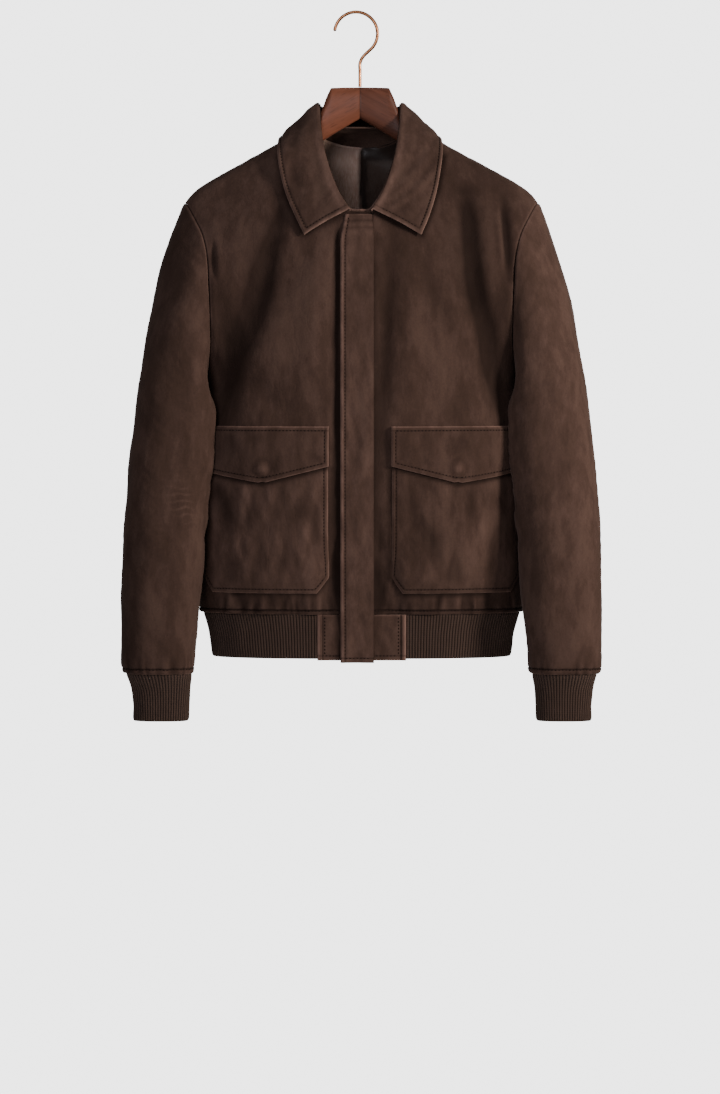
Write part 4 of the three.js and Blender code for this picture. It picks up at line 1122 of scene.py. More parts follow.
@dataclass
class Stitching:
    """Rows of lockstitches, sunk into the cloth; the thread is painted darker than the cloth, as painted
    shade of the stitch holes.

    A real stitch is 3 mm long and 0.5 mm thick; these are drawn coarser, so that the rows show as dots.
    """

    thread: Material
    pitch: float = 4.6
    length: float = 2.7
    radius: float = 0.72
    places: list[Array] = field(default_factory=list)
    faces: list[Array] = field(default_factory=list)

    def run(self, path: Array, normals: Array) -> None:
        """Sews along a line.

        Args:
            path: Places on the cloth.
            normals: The cloth's outward directions there, or one for all.
        """
        lengths, normals = line_lengths(path), np.broadcast_to(normals, path.shape)
        middles = (np.arange(int(lengths[-1] / self.pitch)) + 0.5) * self.pitch
        centre, outward = read_along(lengths, path, middles), unit(read_along(lengths, normals, middles))
        along = unit(read_along(lengths, path, middles + 0.6) - read_along(lengths, path, middles - 0.6))
        aside = np.cross(along, outward)
        # A stitch is a short capsule: four rings of six, the end rings small and dipping in
        rings = ((-0.5, 0.35, -0.55), (-0.3, 1.0, 0.0), (0.3, 1.0, 0.0), (0.5, 0.35, -0.55))
        body = [centre + along * shift * self.length
                + aside * (self.radius * size * math.cos(turn) * 1.15)
                + outward * (self.radius * size * math.sin(turn) * 0.8 + dip * self.radius)
                for shift, size, dip in rings for turn in np.arange(6) * math.pi / 3]
        starts = sum(len(block) for block in self.places) + np.arange(len(middles))[:, None, None] * len(body)
        self.places.append(np.stack(body, axis=1).reshape(-1, 3))
        self.faces.append((STITCH_FACES[None] + starts).reshape(-1, 4))

    def build(self, name: str) -> None:
        """Makes one piece of all the stitches so far and starts again."""
        piece = make_object(name, np.concatenate(self.places), np.concatenate(self.faces), self.thread)
        self.places, self.faces = [], []
        dressed(piece, "suede")


# What casts a line of shade on the fronts: the edge of a collar leaf as x, lean and drop, and the
# edge of a pocket as x and drop
LEAF_EDGE = ((13, 1.2, 258.5), (75.5, 3.6, 289), (88, 3.2, 261), (99, 2.4, 229), (107, 1.2, 186))
POCKET_EDGE = ((39.5, 590), (39.5, 731), (57, 752.5), (165, 752.5))


@dataclass
class BodyPanels:
    """The two fronts and the back, from the shoulder seams to the band above the hem rib."""

    suede: Material
    step: float = 3.2
    band: float = 5.6
    gap_x: float = -29.0

    def _rows(self) -> tuple[Array, Array]:
        """Keys of the upper rows and heights of the lower ones."""
        upper = np.concatenate([[0, 0.02, 0.05, 0.09, 0.14, 0.22, 0.34], np.linspace(0.5, 9, 128)])
        band = HEM_DROP - np.array([12, 9.6, 8.2, 7.2, 6.4, 5.6, 4.8, 3.8, 2.6, 1.6, 0.8, 0.3, 0])
        return upper, np.concatenate([np.arange(CHEST_DROP + self.step, 766, self.step), band])

    def _parts(self) -> Array:
        """The columns' parts, close together at the armhole and the side."""
        near = 1 - np.array([16, 12, 9, 6.5, 4.4, 2.8, 1.6, 0.7, 0]) / 255
        return np.concatenate([np.linspace(0, near[0], 74)[:-1], near])

    def _half(self, face: Face, side: Side) -> Array:
        """A half panel's places before their finer relief."""
        rows, drops = self._rows()
        grid = TORSO.panel(face, side, rows, drops, self._parts())
        grid[0, :, 1] += face.value * SEAM_GAP / 2
        grid[len(rows):, -1, 1] += face.value * SEAM_GAP / 2
        return grid

    def _relief(self, grid: Array, face: Face, ends: Array) -> tuple[Array, Array, Array]:
        """The finer relief of a panel.

        Args:
            grid: Its places.
            face: Front or back.
            ends: Each place's distance from the armhole and the side.

        Returns:
            The height, the paler tone of scuffed edges and pucker crests, and the painted shade.
        """
        x, drop = grid[..., 0], -grid[..., 2]
        below = from_low(grid)
        above = run_lengths(grid, 0)
        seed = 20 if face is Face.FRONT else 40
        phase = 2.4 * Waves(seed, 60).at(x, drop * 0.3)
        near_hem = ramp(drop, HEM_DROP - 46, HEM_DROP - 8)
        pucker = np.sin(x / 2.1 + phase) * (0.5 + 0.5 * np.sin(x / 7.3 + 1.7 * phase))
        above_band = ramp(below, self.band, self.band + 3)
        height = edge_relief(ends) + edge_relief(above) + edge_relief(below, self.band, 0.7, 0.9)
        height += 0.6 * bump_at(ends - 7, 4.0) * ramp(drop, 290, 340)
        height += 1.3 * pucker * near_hem ** 2 * (0.35 + 0.65 * above_band)
        height += 0.22 * Waves(seed + 1, 17).at(x, drop)
        deep = sum(fold.at(x, drop) for fold in FINE_FOLDS[face])
        # Paler at the scuffed edges, and lighter on the crests of the puckers
        wear = np.maximum.reduce([
            0.7 * bump_at(below, 1.1), 0.25 * bump_at(ends - 1.5, 1.4),
            0.4 * np.clip(pucker, 0, 1) * near_hem ** 2 * above_band])
        # Painted shade: darker in the stitch groove, at the seams, in the pucker troughs and in the fine
        # folds
        fold = 0.75 * bump_at(below - self.band, 1.2) + 0.5 * bump_at(ends, 0.9)
        fold = fold + 0.5 * np.clip(-pucker, 0, 1) * near_hem ** 2 + np.clip(deep / 5, 0, 0.8)
        if face is Face.FRONT:
            below_collar = ramp(drop, 266, 300)
            # Painted shadow of the placket's free edge, and a dark line at its seam
            fold += (1.5 * bump_at(x - self.gap_x, 4.4) + 0.6 * bump_at(x - 19.5, 2.6)) * below_collar
            height -= 3.2 * bump_at(x - self.gap_x - 1, 5.0) * below_collar
            # Painted shade: the wearer's left front a little darker all over, and the fronts darker toward
            # the hem
            fold = fold + np.where(x > 0, 0.08, 0.0) + 0.26 * ramp(drop, 690, 765)
            # Painted shade over the upper front on the wearer's left, below the collar
            fold += 0.3 * bump_at(x - 150, 50) * (1 - ramp(drop, 320, 420))
            # Painted shadows below the collar leaves' edges and outside the pockets' edges
            for side in Side:
                leaf = tuple((side.value * far + shift, low) for far, shift, low in LEAF_EDGE)
                fold += 0.75 * bump_at(off_line(x, drop, leaf), 5.0)
                patch = tuple((side.value * far, low) for far, low in POCKET_EDGE)
                fold += (0.85 if side is Side.LEFT else 0.5) * bump_at(off_line(x, drop, patch), 3.4)
            # Painted shadow of the sleeves on the sides below the armholes, darker on the wearer's left
            fold += np.where(x > 0, 0.75, 0.4) * (1 - ramp(ends, 2, 30)) * ramp(drop, 380, 470)
        return height - deep, wear, fold

    @staticmethod
    def _shoulder_tape(side: Side) -> Array:
        """The seam allowance under the shoulder seam."""
        line = TORSO.upper(Face.FRONT, side, np.zeros(40), np.linspace(0.01, 0.99, 40))
        return np.stack([line + np.array([0, away, -2.6 - 0.05 * abs(away)]) for away in (5, 0, -5)])

    @staticmethod
    def _side_tape(side: Side) -> Array:
        """The seam allowance behind the side seam."""
        line = TORSO.lower(Face.FRONT, side, np.linspace(496, HEM_DROP - 1, 80), np.ones(80))
        line[:, 0] -= side.value * 2.6
        return np.stack([line + np.array([0, away, 0]) for away in (-6, 0, 6)])

    def _sew(self, grid: Array, stitching: Stitching) -> None:
        """Sews the row above the hem rib."""
        path = contour(grid, from_low(grid), self.band)
        stitching.run(path, out_of(path[:, 0], path[:, 1]))

    def front(self, side: Side, stitching: Stitching) -> None:
        """Builds and dresses a front panel."""
        turned = side is Side.LEFT
        base = self._half(Face.FRONT, side)
        out = run_lengths(base, 1)
        height, wear, fold = self._relief(base, Face.FRONT, out[:, -1:] - out)
        grid = raised(base, height, turned)
        wall = Wall(SUEDE_THICK, SEWN_RIM).add(grid, turned, wear=wear, fold=fold)
        if side is Side.RIGHT:
            start = nearest(self._rows()[0], 5)
            edge = grid[start:, :1]
            under = np.repeat(edge, 8, axis=1)
            under[..., 0] = mix(UNDERLAP_X, 0, np.linspace(0, 1, 8)) + np.linspace(0, 1, 8) * edge[..., 0]
            under[:, :-1, 1] += 0.4
            # The underlap behind the placket is painted in shade
            wall.add(under, turned, beside=True, wear=0.0, fold=0.6)
        else:
            start = nearest(self._rows()[0], 5.05)
            # The seam allowance is painted in shade
            wall.tape(FrontClosing.allowance(grid[start:, :1]), turned, 0.8)
        self._sew(grid, stitching)
        wall.finish(f"front_panel_{side.word}", self.suede, "suede", f"front_{side.word}")

    def back(self, stitching: Stitching) -> None:
        """Builds and dresses the back panel."""
        right, left = (self._half(Face.BACK, side) for side in Side)
        base = np.concatenate([right[:, ::-1], left[:, 1:]], axis=1)
        out = run_lengths(base, 1)
        ends = np.minimum(out, out[:, -1:] - out)
        height, wear, fold = self._relief(base, Face.BACK, ends)
        grid = raised(base, height)
        self._sew(grid, stitching)
        wall = Wall(SUEDE_THICK, SEWN_RIM).add(grid, wear=wear, fold=fold)
        for side in Side:
            wall.tape(self._shoulder_tape(side), side is Side.LEFT)
            wall.tape(self._side_tape(side), side is Side.LEFT)
        wall.finish("back_panel", self.suede, "suede", "back")


@dataclass
class SleevePair:
    """The sleeves: suede tubes from the armhole seam to the stitched hem above the cuff."""

    suede: Material
    columns: int = 116
    hem_stitch: float = 7.6
    seam_turn: float = 4.1

    def build(self, side: Side, stitching: Stitching) -> None:
        """Builds and dresses a sleeve."""
        turned = side is Side.RIGHT
        turns = np.linspace(0, 2 * math.pi, self.columns + 1)
        parts = np.concatenate([[0, 0.004, 0.01, 0.018, 0.03, 0.045], np.linspace(0.065, 1, 62)])
        drops = np.concatenate([
            np.arange(523.2, 580, 3.2), np.arange(580, 690, 1.6), np.arange(690, 838, 3.2),
            SLEEVE_END - np.array([14, 11, 9.4, 8.4, 7.6, 6.8, 5.6, 4, 2.4, 1.2, 0.5, 0])])
        cap = SLEEVES.cap(side, turns[None, :] + 0 * parts[:, None], parts[:, None])
        arm = SLEEVES.section(SLEEVES.ARM[side], side, drops[:, None], turns[None, :] + 0 * drops[:, None])
        base = np.concatenate([cap, arm])
        base[:, -1] = base[:, 0]
        turn = np.broadcast_to(turns, base.shape[:2])
        drop = -base[..., 2]
        above, below = run_lengths(base, 0), from_low(base)
        # The relief runs round the tube, so its waves are read on a circle
        ring_x, ring_y = 55 * np.cos(turn), 55 * np.sin(turn)
        seed = 60 + side.value
        waves = Waves(seed, 70).at(ring_x + 0.4 * drop, ring_y + 0.6 * drop)
        fine = Waves(seed + 5, 19).at(ring_x + drop, ring_y - 0.7 * drop)
        phase = 2.0 * Waves(seed + 9, 50).at(ring_x, ring_y)
        near_hem = ramp(below, 42, self.hem_stitch)
        pucker = np.sin(22 * turn + phase) * (0.55 + 0.45 * np.sin(7 * turn + 1.3 * phase))
        seam = np.abs(np.mod(turn - self.seam_turn + math.pi, 2 * math.pi) - math.pi) * 50
        height = edge_relief(above) + edge_relief(below, self.hem_stitch, 0.8, 0.9)
        height = height + 0.7 * waves * ramp(above, 0, 40) + 0.2 * fine
        height = height + 0.5 * bump_at(above - 6, 4.0) + 0.9 * pucker * near_hem ** 2
        height = height - 0.8 * bump_at(seam, 1.3) + 0.35 * bump_at(seam - 4, 2.5)
        ripple = np.sin(2 * math.pi * drop / 9.0 + 1.2 * waves + 0.8 * fine) * bump_at(turn - 1.9, 0.55)
        ripple = np.clip(ripple, 0, 1) ** 2 * bump_at(drop - 632, 36) * (0.5 + 0.5 * np.tanh(2 * waves))
        height += 0.3 * ripple
        # Paler at the scuffed edges and beside the seam, lighter on the crests of the elbow ripples and the
        # puckers, and painted light all over the wearer's left sleeve
        wear = np.maximum.reduce([
            0.7 * bump_at(below, 1.2), 0.4 * bump_at(above - 1.8, 1.4), 0.15 * bump_at(seam - 2.5, 1.5),
            0.22 * ripple, (0.12 if side is Side.LEFT else 0.0) + 0 * ripple,
            0.25 * np.clip(pucker, 0, 1) * near_hem ** 2])
        # Painted shade: darker in the stitch groove, at the armhole and sleeve seams and in the pucker
        # troughs
        fold = 0.7 * bump_at(below - self.hem_stitch, 1.2) + 0.55 * bump_at(above, 0.9)
        fold = fold + 0.6 * bump_at(seam, 1.2) + 0.45 * np.clip(-pucker, 0, 1) * near_hem ** 2
        # Painted shade on the outer side of the wearer's right sleeve, which the key light misses, and both
        # sleeves darker toward the bottom
        fold += (0.3 if side is Side.RIGHT else 0.0) * np.maximum(np.cos(turn), 0) ** 1.5
        fold += 0.2 * ramp(drop, 620, 780)
        grid = raised(base, height, turned, closed=True)
        path = contour(grid, from_low(grid), self.hem_stitch)
        stitching.run(path, normals_of(grid, turned, closed=True)[-6])
        wall = Wall(SUEDE_THICK, SEWN_RIM).add(grid, turned, wear=wear, fold=fold)
        wall.tape(SLEEVES.allowance(side, turns), not turned)
        wall.finish(f"sleeve_tube_{side.word}", self.suede, "suede", f"sleeve_{side.word}")


def evenly(path: Array, count: int) -> Array:
    """Places at even distances along a path."""
    lengths = line_lengths(path)
    return read_along(lengths, path, np.linspace(0, lengths[-1], count + 1))


@dataclass
class RibBand:
    """A rib knit band: ribs stand up along it, and its lower edge is folded over."""

    knit: Material
    ribs: int
    relief: float = 1.0
    across: int = 6

    def _build(self, name: str, node: str, paths: Array, drops: Array, closed: bool, turned: bool) -> None:
        """Builds and dresses a band.

        Args:
            name: The piece's name.
            node: The solid that it stands for.
            paths: Each height's line round the band, closely spaced.
            drops: The heights.
            closed: True for a tube.
            turned: True where the paths run so that the grid's own directions point inward.
        """
        columns = self.ribs * self.across
        grid = np.stack([evenly(path, columns) for path in paths])
        share = np.arange(columns + 1) / self.across
        place = np.mod(share, 1.0)
        ridge = np.abs(np.sin(math.pi * place)) ** 0.7 - 1
        from_top, from_bottom = drops - drops[0], drops[-1] - drops
        depth = self.relief * (0.35 + 0.65 * ramp(from_top, 0, 5)) * (0.6 + 0.4 * ramp(from_bottom, 0, 3))
        closing = -1.3 * (1 - ramp(from_bottom, -0.6, 2.6)) - 0.5 * (1 - ramp(from_top, 0, 2.5))
        wander = 0.35 * Waves(77, 30).at(share * 3.6, drops[:, None]) * ramp(from_top, 0, 12)[:, None]
        height = ridge[None, :] * depth[:, None] + closing[:, None] + wander - 0.35
        if closed:
            height[:, -1] = height[:, 0]
        grid = raised(grid, height, turned, closed)
        grid[..., 2] = -drops[:, None]
        wall = Wall(RIB_THICK, 0.3).add(grid, turned, rib_u=share, rib_v=from_top[:, None])
        wall.finish(name, self.knit, "rib_knit", node)

    def cuff(self, side: Side) -> None:
        """Builds a cuff."""
        drops = np.concatenate([SLEEVE_END + np.array([0.3, 1.2, 2.5, 4.5, 7]), np.linspace(866, 911, 12),
                                CUFF_BOTTOM - np.array([3.1, 1.7, 0.7, 0])])
        turns = np.linspace(0, 2 * math.pi, 361)
        paths = [SLEEVES.section(SLEEVES.CUFF[side], side, drop + 0 * turns, turns) for drop in drops]
        self._build(f"cuff_knit_{side.word}", f"cuff_rib_{side.word}", np.array(paths), drops, True,
                    side is Side.RIGHT)

    def hem(self) -> None:
        """Builds the hem band, from the right front tab round the back to the left one."""
        top = HEM_DROP + SEAM_GAP
        drops = np.concatenate([top + np.array([0, 0.8, 2, 4, 7]), np.linspace(790, 831, 11),
                                [833.4, 835, 836.2, HEM_BOTTOM]])
        paths = []
        for drop in drops:
            first = TORSO.part_at(Side.RIGHT, RIGHT_TAB_X, drop, HEM_LEVELS)
            last = TORSO.part_at(Side.LEFT, LEFT_TAB_X, drop, HEM_LEVELS)
            runs = ((Face.FRONT, Side.RIGHT, first, 1), (Face.BACK, Side.RIGHT, 1, 0),
                    (Face.BACK, Side.LEFT, 0, 1), (Face.FRONT, Side.LEFT, 1, last))
            legs = [TORSO.lower(face, side, drop, np.linspace(start, end, 121), HEM_LEVELS)[1 if k else 0:]
                    for k, (face, side, start, end) in enumerate(runs)]
            paths.append(np.concatenate(legs))
        self._build("hem_knit", "hem_rib", np.array(paths), drops, False, False)


@dataclass
class FrontClosing:
    """The placket over the closed front and the suede tabs that end the hem."""

    suede: Material
    stitch: float = 6.0
    strip: float = 6.4
    centre: Table = field(default_factory=lambda: FrontClosing.line())

    @staticmethod
    def line() -> Table:
        """The depth of the flat strip at the centre front, by height."""
        upper = UPPER[Face.FRONT].read(np.arange(5, 10))
        rows = [(drop, y) for drop, y in zip(upper["neck_drop"], upper["neck_y"])]
        for levels, drops in ((BODY_LEVELS, (535, 600, 670, 720, 757, 776)), (HEM_LEVELS, (795, 815, 842))):
            rows += [(drop, SIDE_Y - float(levels.read(drop)["front"])) for drop in drops]
        return Table("drop y", *rows)

    @staticmethod
    def allowance(edge: Array) -> Array:
        """The seam allowance that leads from an edge on the wearer's left to the placket's back."""
        share = np.linspace(0, 1, 6)[None, :]
        back = FrontClosing.line().read(-edge[..., 2])["y"] - PLACKET_PROUD + SUEDE_THICK + 0.1
        x, y = mix(PLACKET_SEAM_X - 5, edge[..., 0], share), mix(back, edge[..., 1], share ** 2)
        return stack(x, y, edge[..., 2])

    def placket(self, stitching: Stitching) -> None:
        """Builds and dresses the placket."""
        drops = PLACKET_TOP + grown(PLACKET_BOTTOM - PLACKET_TOP, 3.0, SEWN_EDGE)
        width = PLACKET_SEAM_X - PLACKET_FREE_X
        across = grown(width, 1.7, SEWN_EDGE)
        drop = drops[:, None] + 0 * across
        free = mix(PLACKET_FREE_X + 6.5, PLACKET_FREE_X, ramp(drop, 255, 300))
        seam = mix(PLACKET_SEAM_X - 2.5, PLACKET_SEAM_X, ramp(drop, 258, 285))
        x = mix(free, seam, across[None, :] / width)
        y = self.centre.read(drop)["y"] - PLACKET_PROUD
        y += 0.4 * np.clip((-FRONT_FLAT - x) / 7, 0, 1)
        from_free, from_seam = x - free, seam - x
        above, below = drop - PLACKET_TOP, PLACKET_BOTTOM - drop
        pucker = bump_at(above - 9, 2.6) - 0.8 * bump_at(above - 13.5, 2.2) + 0.7 * bump_at(above - 17.5, 2.4)
        height = edge_relief(from_free, self.stitch, 0.5, 0.5) + edge_relief(from_seam) + edge_relief(above)
        height += edge_relief(below, self.stitch, 0.4, 0.45)
        height -= 0.9 * pucker * np.clip(from_seam / 6, 0, 1) * np.clip(from_free / 8, 0, 1)
        height = height + 0.3 * Waves(91, 26).at(2.2 * x, drop) + 0.5 * Waves(92, 90).at(3 * x, drop)
        # Paler at the scuffed edges, and painted light over the whole strip
        wear = np.maximum.reduce([0.75 * bump_at(from_free - 1.6, 2.6), 0.14 + 0 * drop,
                                  0.8 * bump_at(below, 1.3), 0.7 * bump_at(above, 1.2)])
        # Painted shade in the pucker troughs, the stitch grooves and at the seam
        fold = np.clip(0.5 * pucker, 0, 1) + 0.55 * bump_at(from_free - self.stitch, 1.0)
        fold += 0.6 * bump_at(from_seam, 1.6)
        fold += 0.6 * bump_at(below - self.stitch, 0.9)
        base = stack(x, y, -drop)
        grid = raised(base, height, True)
        wall = Wall(SUEDE_THICK, TURNED_RIM).add(grid, True, wear=wear, fold=fold)
        row, column = nearest(drops, PLACKET_BOTTOM - self.stitch), nearest(across, self.stitch)
        stitching.run(grid[4:-6, column], FORWARD)
        stitching.run(grid[row, column:-2], FORWARD)
        wall.finish("placket_strip", self.suede, "suede", "placket")

    @staticmethod
    def _joint_tape(side: Side) -> Array:
        """The seam allowance behind the joint of a tab and the rib."""
        joint = RIGHT_TAB_X if side is Side.RIGHT else LEFT_TAB_X
        drop = np.linspace(HEM_DROP + 1, HEM_BOTTOM - 0.4, 24)[:, None]
        x = joint + np.array([-5.0, 0.0, 5.0])[None, :]
        base = TORSO.lower(Face.FRONT, side, drop, TORSO.part_at(side, x, drop, HEM_LEVELS), HEM_LEVELS)
        return raised(base, -2.3, True)

    def tab(self, side: Side, stitching: Stitching) -> None:
        """Builds and dresses the suede end of the hem on one side of the placket."""
        start, end = ((RIGHT_TAB_X + SEAM_GAP, UNDERLAP_X) if side is Side.RIGHT
                      else (FRONT_FLAT, LEFT_TAB_X - SEAM_GAP))
        top = HEM_DROP + SEAM_GAP
        drops, across = (top + grown(TAB_BOTTOM - top, 2.4, SEWN_EDGE),
                         start + grown(end - start, 1.6, SEWN_EDGE))
        x, drop = np.broadcast_arrays(across[None, :], drops[:, None])
        y = TORSO.lower(Face.FRONT, side, drop, TORSO.part_at(side, x, drop, HEM_LEVELS), HEM_LEVELS)[..., 1]
        outer = (x - start) if side is Side.RIGHT else (end - x)
        below, above = TAB_BOTTOM - drop, drop - top
        height = edge_relief(outer) + edge_relief(below, self.stitch, 0.3, 0.4) + edge_relief(above)
        height += 0.7 * (1 - ramp(outer, self.strip - 1.2, self.strip))
        height = height - 0.5 * bump_at(outer - self.strip - 0.4, 0.8) + 0.25 * Waves(95, 24).at(2 * x, drop)
        wear = np.maximum.reduce([
            0.85 * bump_at(outer - 1, 2.2), 0.9 * bump_at(below, 1.6), 0.5 * bump_at(above, 1.2)])
        # Painted shade in the groove beside the strip and in the stitch groove
        fold = 0.8 * bump_at(outer - self.strip - 0.6, 0.9) + 0.45 * bump_at(below - self.stitch, 0.9)
        # Painted shadow of the placket over the part of the right tab beside it
        if side is Side.RIGHT:
            fold += 0.85 * ramp(x, -38, -27)
        grid = raised(stack(x, y, -drop), height, True)
        wall = Wall(SUEDE_THICK, TURNED_RIM).add(grid, True, wear=wear, fold=fold)
        wall.tape(self._joint_tape(side), True)
        if side is Side.LEFT:
            wall.tape(self.allowance(grid[:, :1]), True, 0.8)
        row = nearest(drops, TAB_BOTTOM - self.stitch)
        near = nearest(outer[0], self.strip + 3.4)
        stitching.run(grid[row, near:-2] if side is Side.RIGHT else grid[row, 2:near], FORWARD)
        stitching.run(grid[3:row, near], FORWARD)
        wall.finish(f"hem_tab_end_{side.word}", self.suede, "suede", f"hem_tab_{side.word}")


@dataclass
class PatchPocket:
    """A patch pocket with cut corners under a pointed flap with a hidden snap."""

    suede: Material
    chart: FrontChart
    inner_x: float = 41.0
    top: float = 543.0
    corner: float = 730.0
    bottom: float = 751.0
    cut: float = 17.0
    stitch: float = 5.4
    flap_inner_x: float = 40.0
    flap_top: float = 535.0
    flap_ends: tuple[float, float, float] = (586.0, 608.0, 593.0)
    point_x: float = 125.0
    snap_drop: float = 589.0
    snap_radius: float = 9.5
    snap_height: float = 2.1

    @property
    def side(self) -> Side:
        """The wearer's side."""
        return self.chart.side

    def _around(self, x: float, drop: float) -> float:
        """The chart's distance round for an x on the front."""
        part = float(TORSO.part_at(self.side, x, drop))
        row = int((drop - CHEST_DROP) / FrontChart.STEP)
        return float(np.interp(part, self.chart.parts, self.chart.lengths[row]))

    def _flap_low(self, around: Array) -> Array:
        """The height of the flap's lower edge at distances round."""
        inner, point = self._around(self.flap_inner_x, self.flap_top), self._around(self.point_x, 600)
        return np.interp(around, [inner, point, float(self.chart.end(self.flap_top))], self.flap_ends)

    @staticmethod
    def _offset(corners: Array, inset: float) -> Array:
        """A polygon's line moved in by an inset; the first and last places are only moved along."""
        moved = []
        runs = unit(np.diff(corners, axis=0))
        sides = np.stack([-runs[:, 1], runs[:, 0]], axis=1)
        for k, corner in enumerate(corners):
            before, after = sides[max(k - 1, 0)], sides[min(k, len(sides) - 1)]
            both = unit(before + after)
            moved.append(corner + both * inset / max(float(both @ before), 0.3))
        return np.array(moved)

    def _sew(self, corners: Array, out: float, stitching: Stitching) -> None:
        """Sews along a polygon line of the chart."""
        for start, end in zip(corners[:-1], corners[1:]):
            count = max(int(np.linalg.norm(end - start) / 4), 2)
            around, drop = mix(start, end, np.linspace(0, 1, count)[:, None]).T
            path = self.chart.place(around, drop, out)
            stitching.run(path, self.chart.place(around, drop, out + 1) - path)

    def pocket(self, stitching: Stitching) -> None:
        """Builds and dresses the pocket."""
        drops = self.top + grown(self.bottom - self.top, 3.0, SEWN_EDGE)
        inner = self._around(self.inner_x, self.top)
        ends = self.chart.end(drops)
        cut = self.cut * np.clip((drops - self.corner) / (self.bottom - self.corner), 0, 1)
        share = grown(160, 2.8, SEWN_EDGE) / 160
        left, right = (inner + cut)[:, None], (ends - cut)[:, None]
        around = mix(left, right, share[None, :])
        drop = drops[:, None] + 0 * around
        tall = self.bottom - self.corner
        slope = math.hypot(tall, self.cut)
        chamfers = [((away * tall) - (drop - self.corner) * self.cut) / slope
                    for away in (around - inner, ends[:, None] - around)]
        away = np.minimum.reduce([around - inner, ends[:, None] - around, self.bottom - drop, *chamfers])
        away = np.maximum(away, 0)
        soft = Waves(30 + self.side.value, 34).at(around, 0.45 * drop)
        fine = Waves(33 + self.side.value, 15).at(around, 0.6 * drop)
        inside = ramp(away, 4, 22)
        drawn = np.maximum(0, np.sin((around - 0.35 * (drop - self.top)) / 9.0 + 1.2 * soft))
        height = SUEDE_THICK + POCKET_PROUD - 0.7 * (1 - ramp(away, 0, 7))
        outer = float(self.chart.end(650.0))
        drape = (Fold(inner + 16, 618, inner + 66, 724, 12, 2.8) if self.side is Side.LEFT
                 else Fold(outer - 18, 600, outer - 52, 664, 9, 2.4)).at(around, drop)
        # It lies flat under its flap
        inside = inside * ramp(drop - self._flap_low(around), 0, 16)
        relief = 0.8 * soft + 0.3 * fine + 0.9 * drawn * (1 - ramp(drop, 620, 700)) - drape
        height = height + edge_relief(away, self.stitch, 0.4, 0.5) + inside * (relief + 1.1)
        # Paler at the scuffed edges, and lighter on the crests of its relief
        wear = np.maximum(0.6 * bump_at(away, 1.2), 0.12 * inside * np.clip(soft, 0, 1))
        # Painted shade in the stitch groove and the troughs of its relief
        fold = 0.6 * bump_at(away - self.stitch, 1.0) + 0.35 * inside * np.clip(-soft - 0.2, 0, 1)
        # Painted shadow under the flap's lower edge
        fold += 0.95 * bump_at(np.maximum(drop - self._flap_low(around) - 1.5, 0), 3.6)
        # Painted shade in the drape; the pocket on the wearer's left is drawn darker all over, and the one on
        # the wearer's right lighter all over
        fold = fold + 0.2 * drape * inside + (0.08 if self.side is Side.LEFT else 0.0)
        wear += (0.13 if self.side is Side.RIGHT else 0.0)
        grid = self.chart.place(around, drop, height)
        turned = self.side is Side.LEFT
        wall = Wall(SUEDE_THICK, TURNED_RIM).add(grid, turned, wear=wear, fold=fold)
        corners = np.array([
            (self.chart.end(self.top + 4), self.top + 4), (self.chart.end(self.corner), self.corner),
            (self.chart.end(self.bottom) - self.cut, self.bottom), (inner + self.cut, self.bottom),
            (inner, self.corner), (inner, self.top + 4)], float)
        self._sew(self._offset(corners, self.stitch), SUEDE_THICK + POCKET_PROUD - 0.55, stitching)
        wall.finish(f"pocket_patch_{self.side.word}", self.suede, "suede", f"pocket_{self.side.word}")

    def flap(self, stitching: Stitching) -> None:
        """Builds and dresses the flap."""
        inner, point = self._around(self.flap_inner_x, self.flap_top), self._around(self.point_x, 600)
        outer = float(self.chart.end(self.flap_top))
        around = inner + grown(outer - inner, 2.6, SEWN_EDGE)
        low = self._flap_low(around) - 2.0 * bump_at(around - point, 3.0)
        share = grown(66, 2.5, SEWN_EDGE) / 66
        drop = mix(self.flap_top, low[None, :], share[:, None])
        around = around[None, :] + 0 * drop
        side_a, side_b = around - inner, outer - around
        lower = (low[None, :] - drop) * math.cos(math.radians(14))
        upper = drop - self.flap_top
        away = np.minimum.reduce([side_a, side_b, lower])
        snap = np.hypot(around - point, drop - self.snap_drop) / self.snap_radius
        bump = self.snap_height * (1 - ramp(snap, 0.35, 1.05)) - 0.4 * bump_at(snap - 1.25, 0.22)
        soft = Waves(50 + self.side.value, 30).at(around, 0.5 * drop)
        inside = ramp(away, 4, 16) * ramp(upper, 5, 16)
        lift = mix(SUEDE_THICK + POCKET_PROUD, SUEDE_THICK + FLAP_PROUD, ramp(upper, 0, 6))
        height = lift + edge_relief(away, self.stitch, 0.4, 0.45) + edge_relief(upper, self.stitch, 0.5, 0.45)
        height = height + bump + 0.6 * soft * inside
        # Paler at the scuffed edges and over the snap
        wear = np.maximum.reduce([
            0.7 * bump_at(away, 1.2), 0.9 * bump_at(upper, 1.3), 0.3 * (1 - ramp(snap, 0.2, 0.8))])
        # The flap on the wearer's right is drawn lighter all over
        wear += (0.08 if self.side is Side.RIGHT else 0.0)
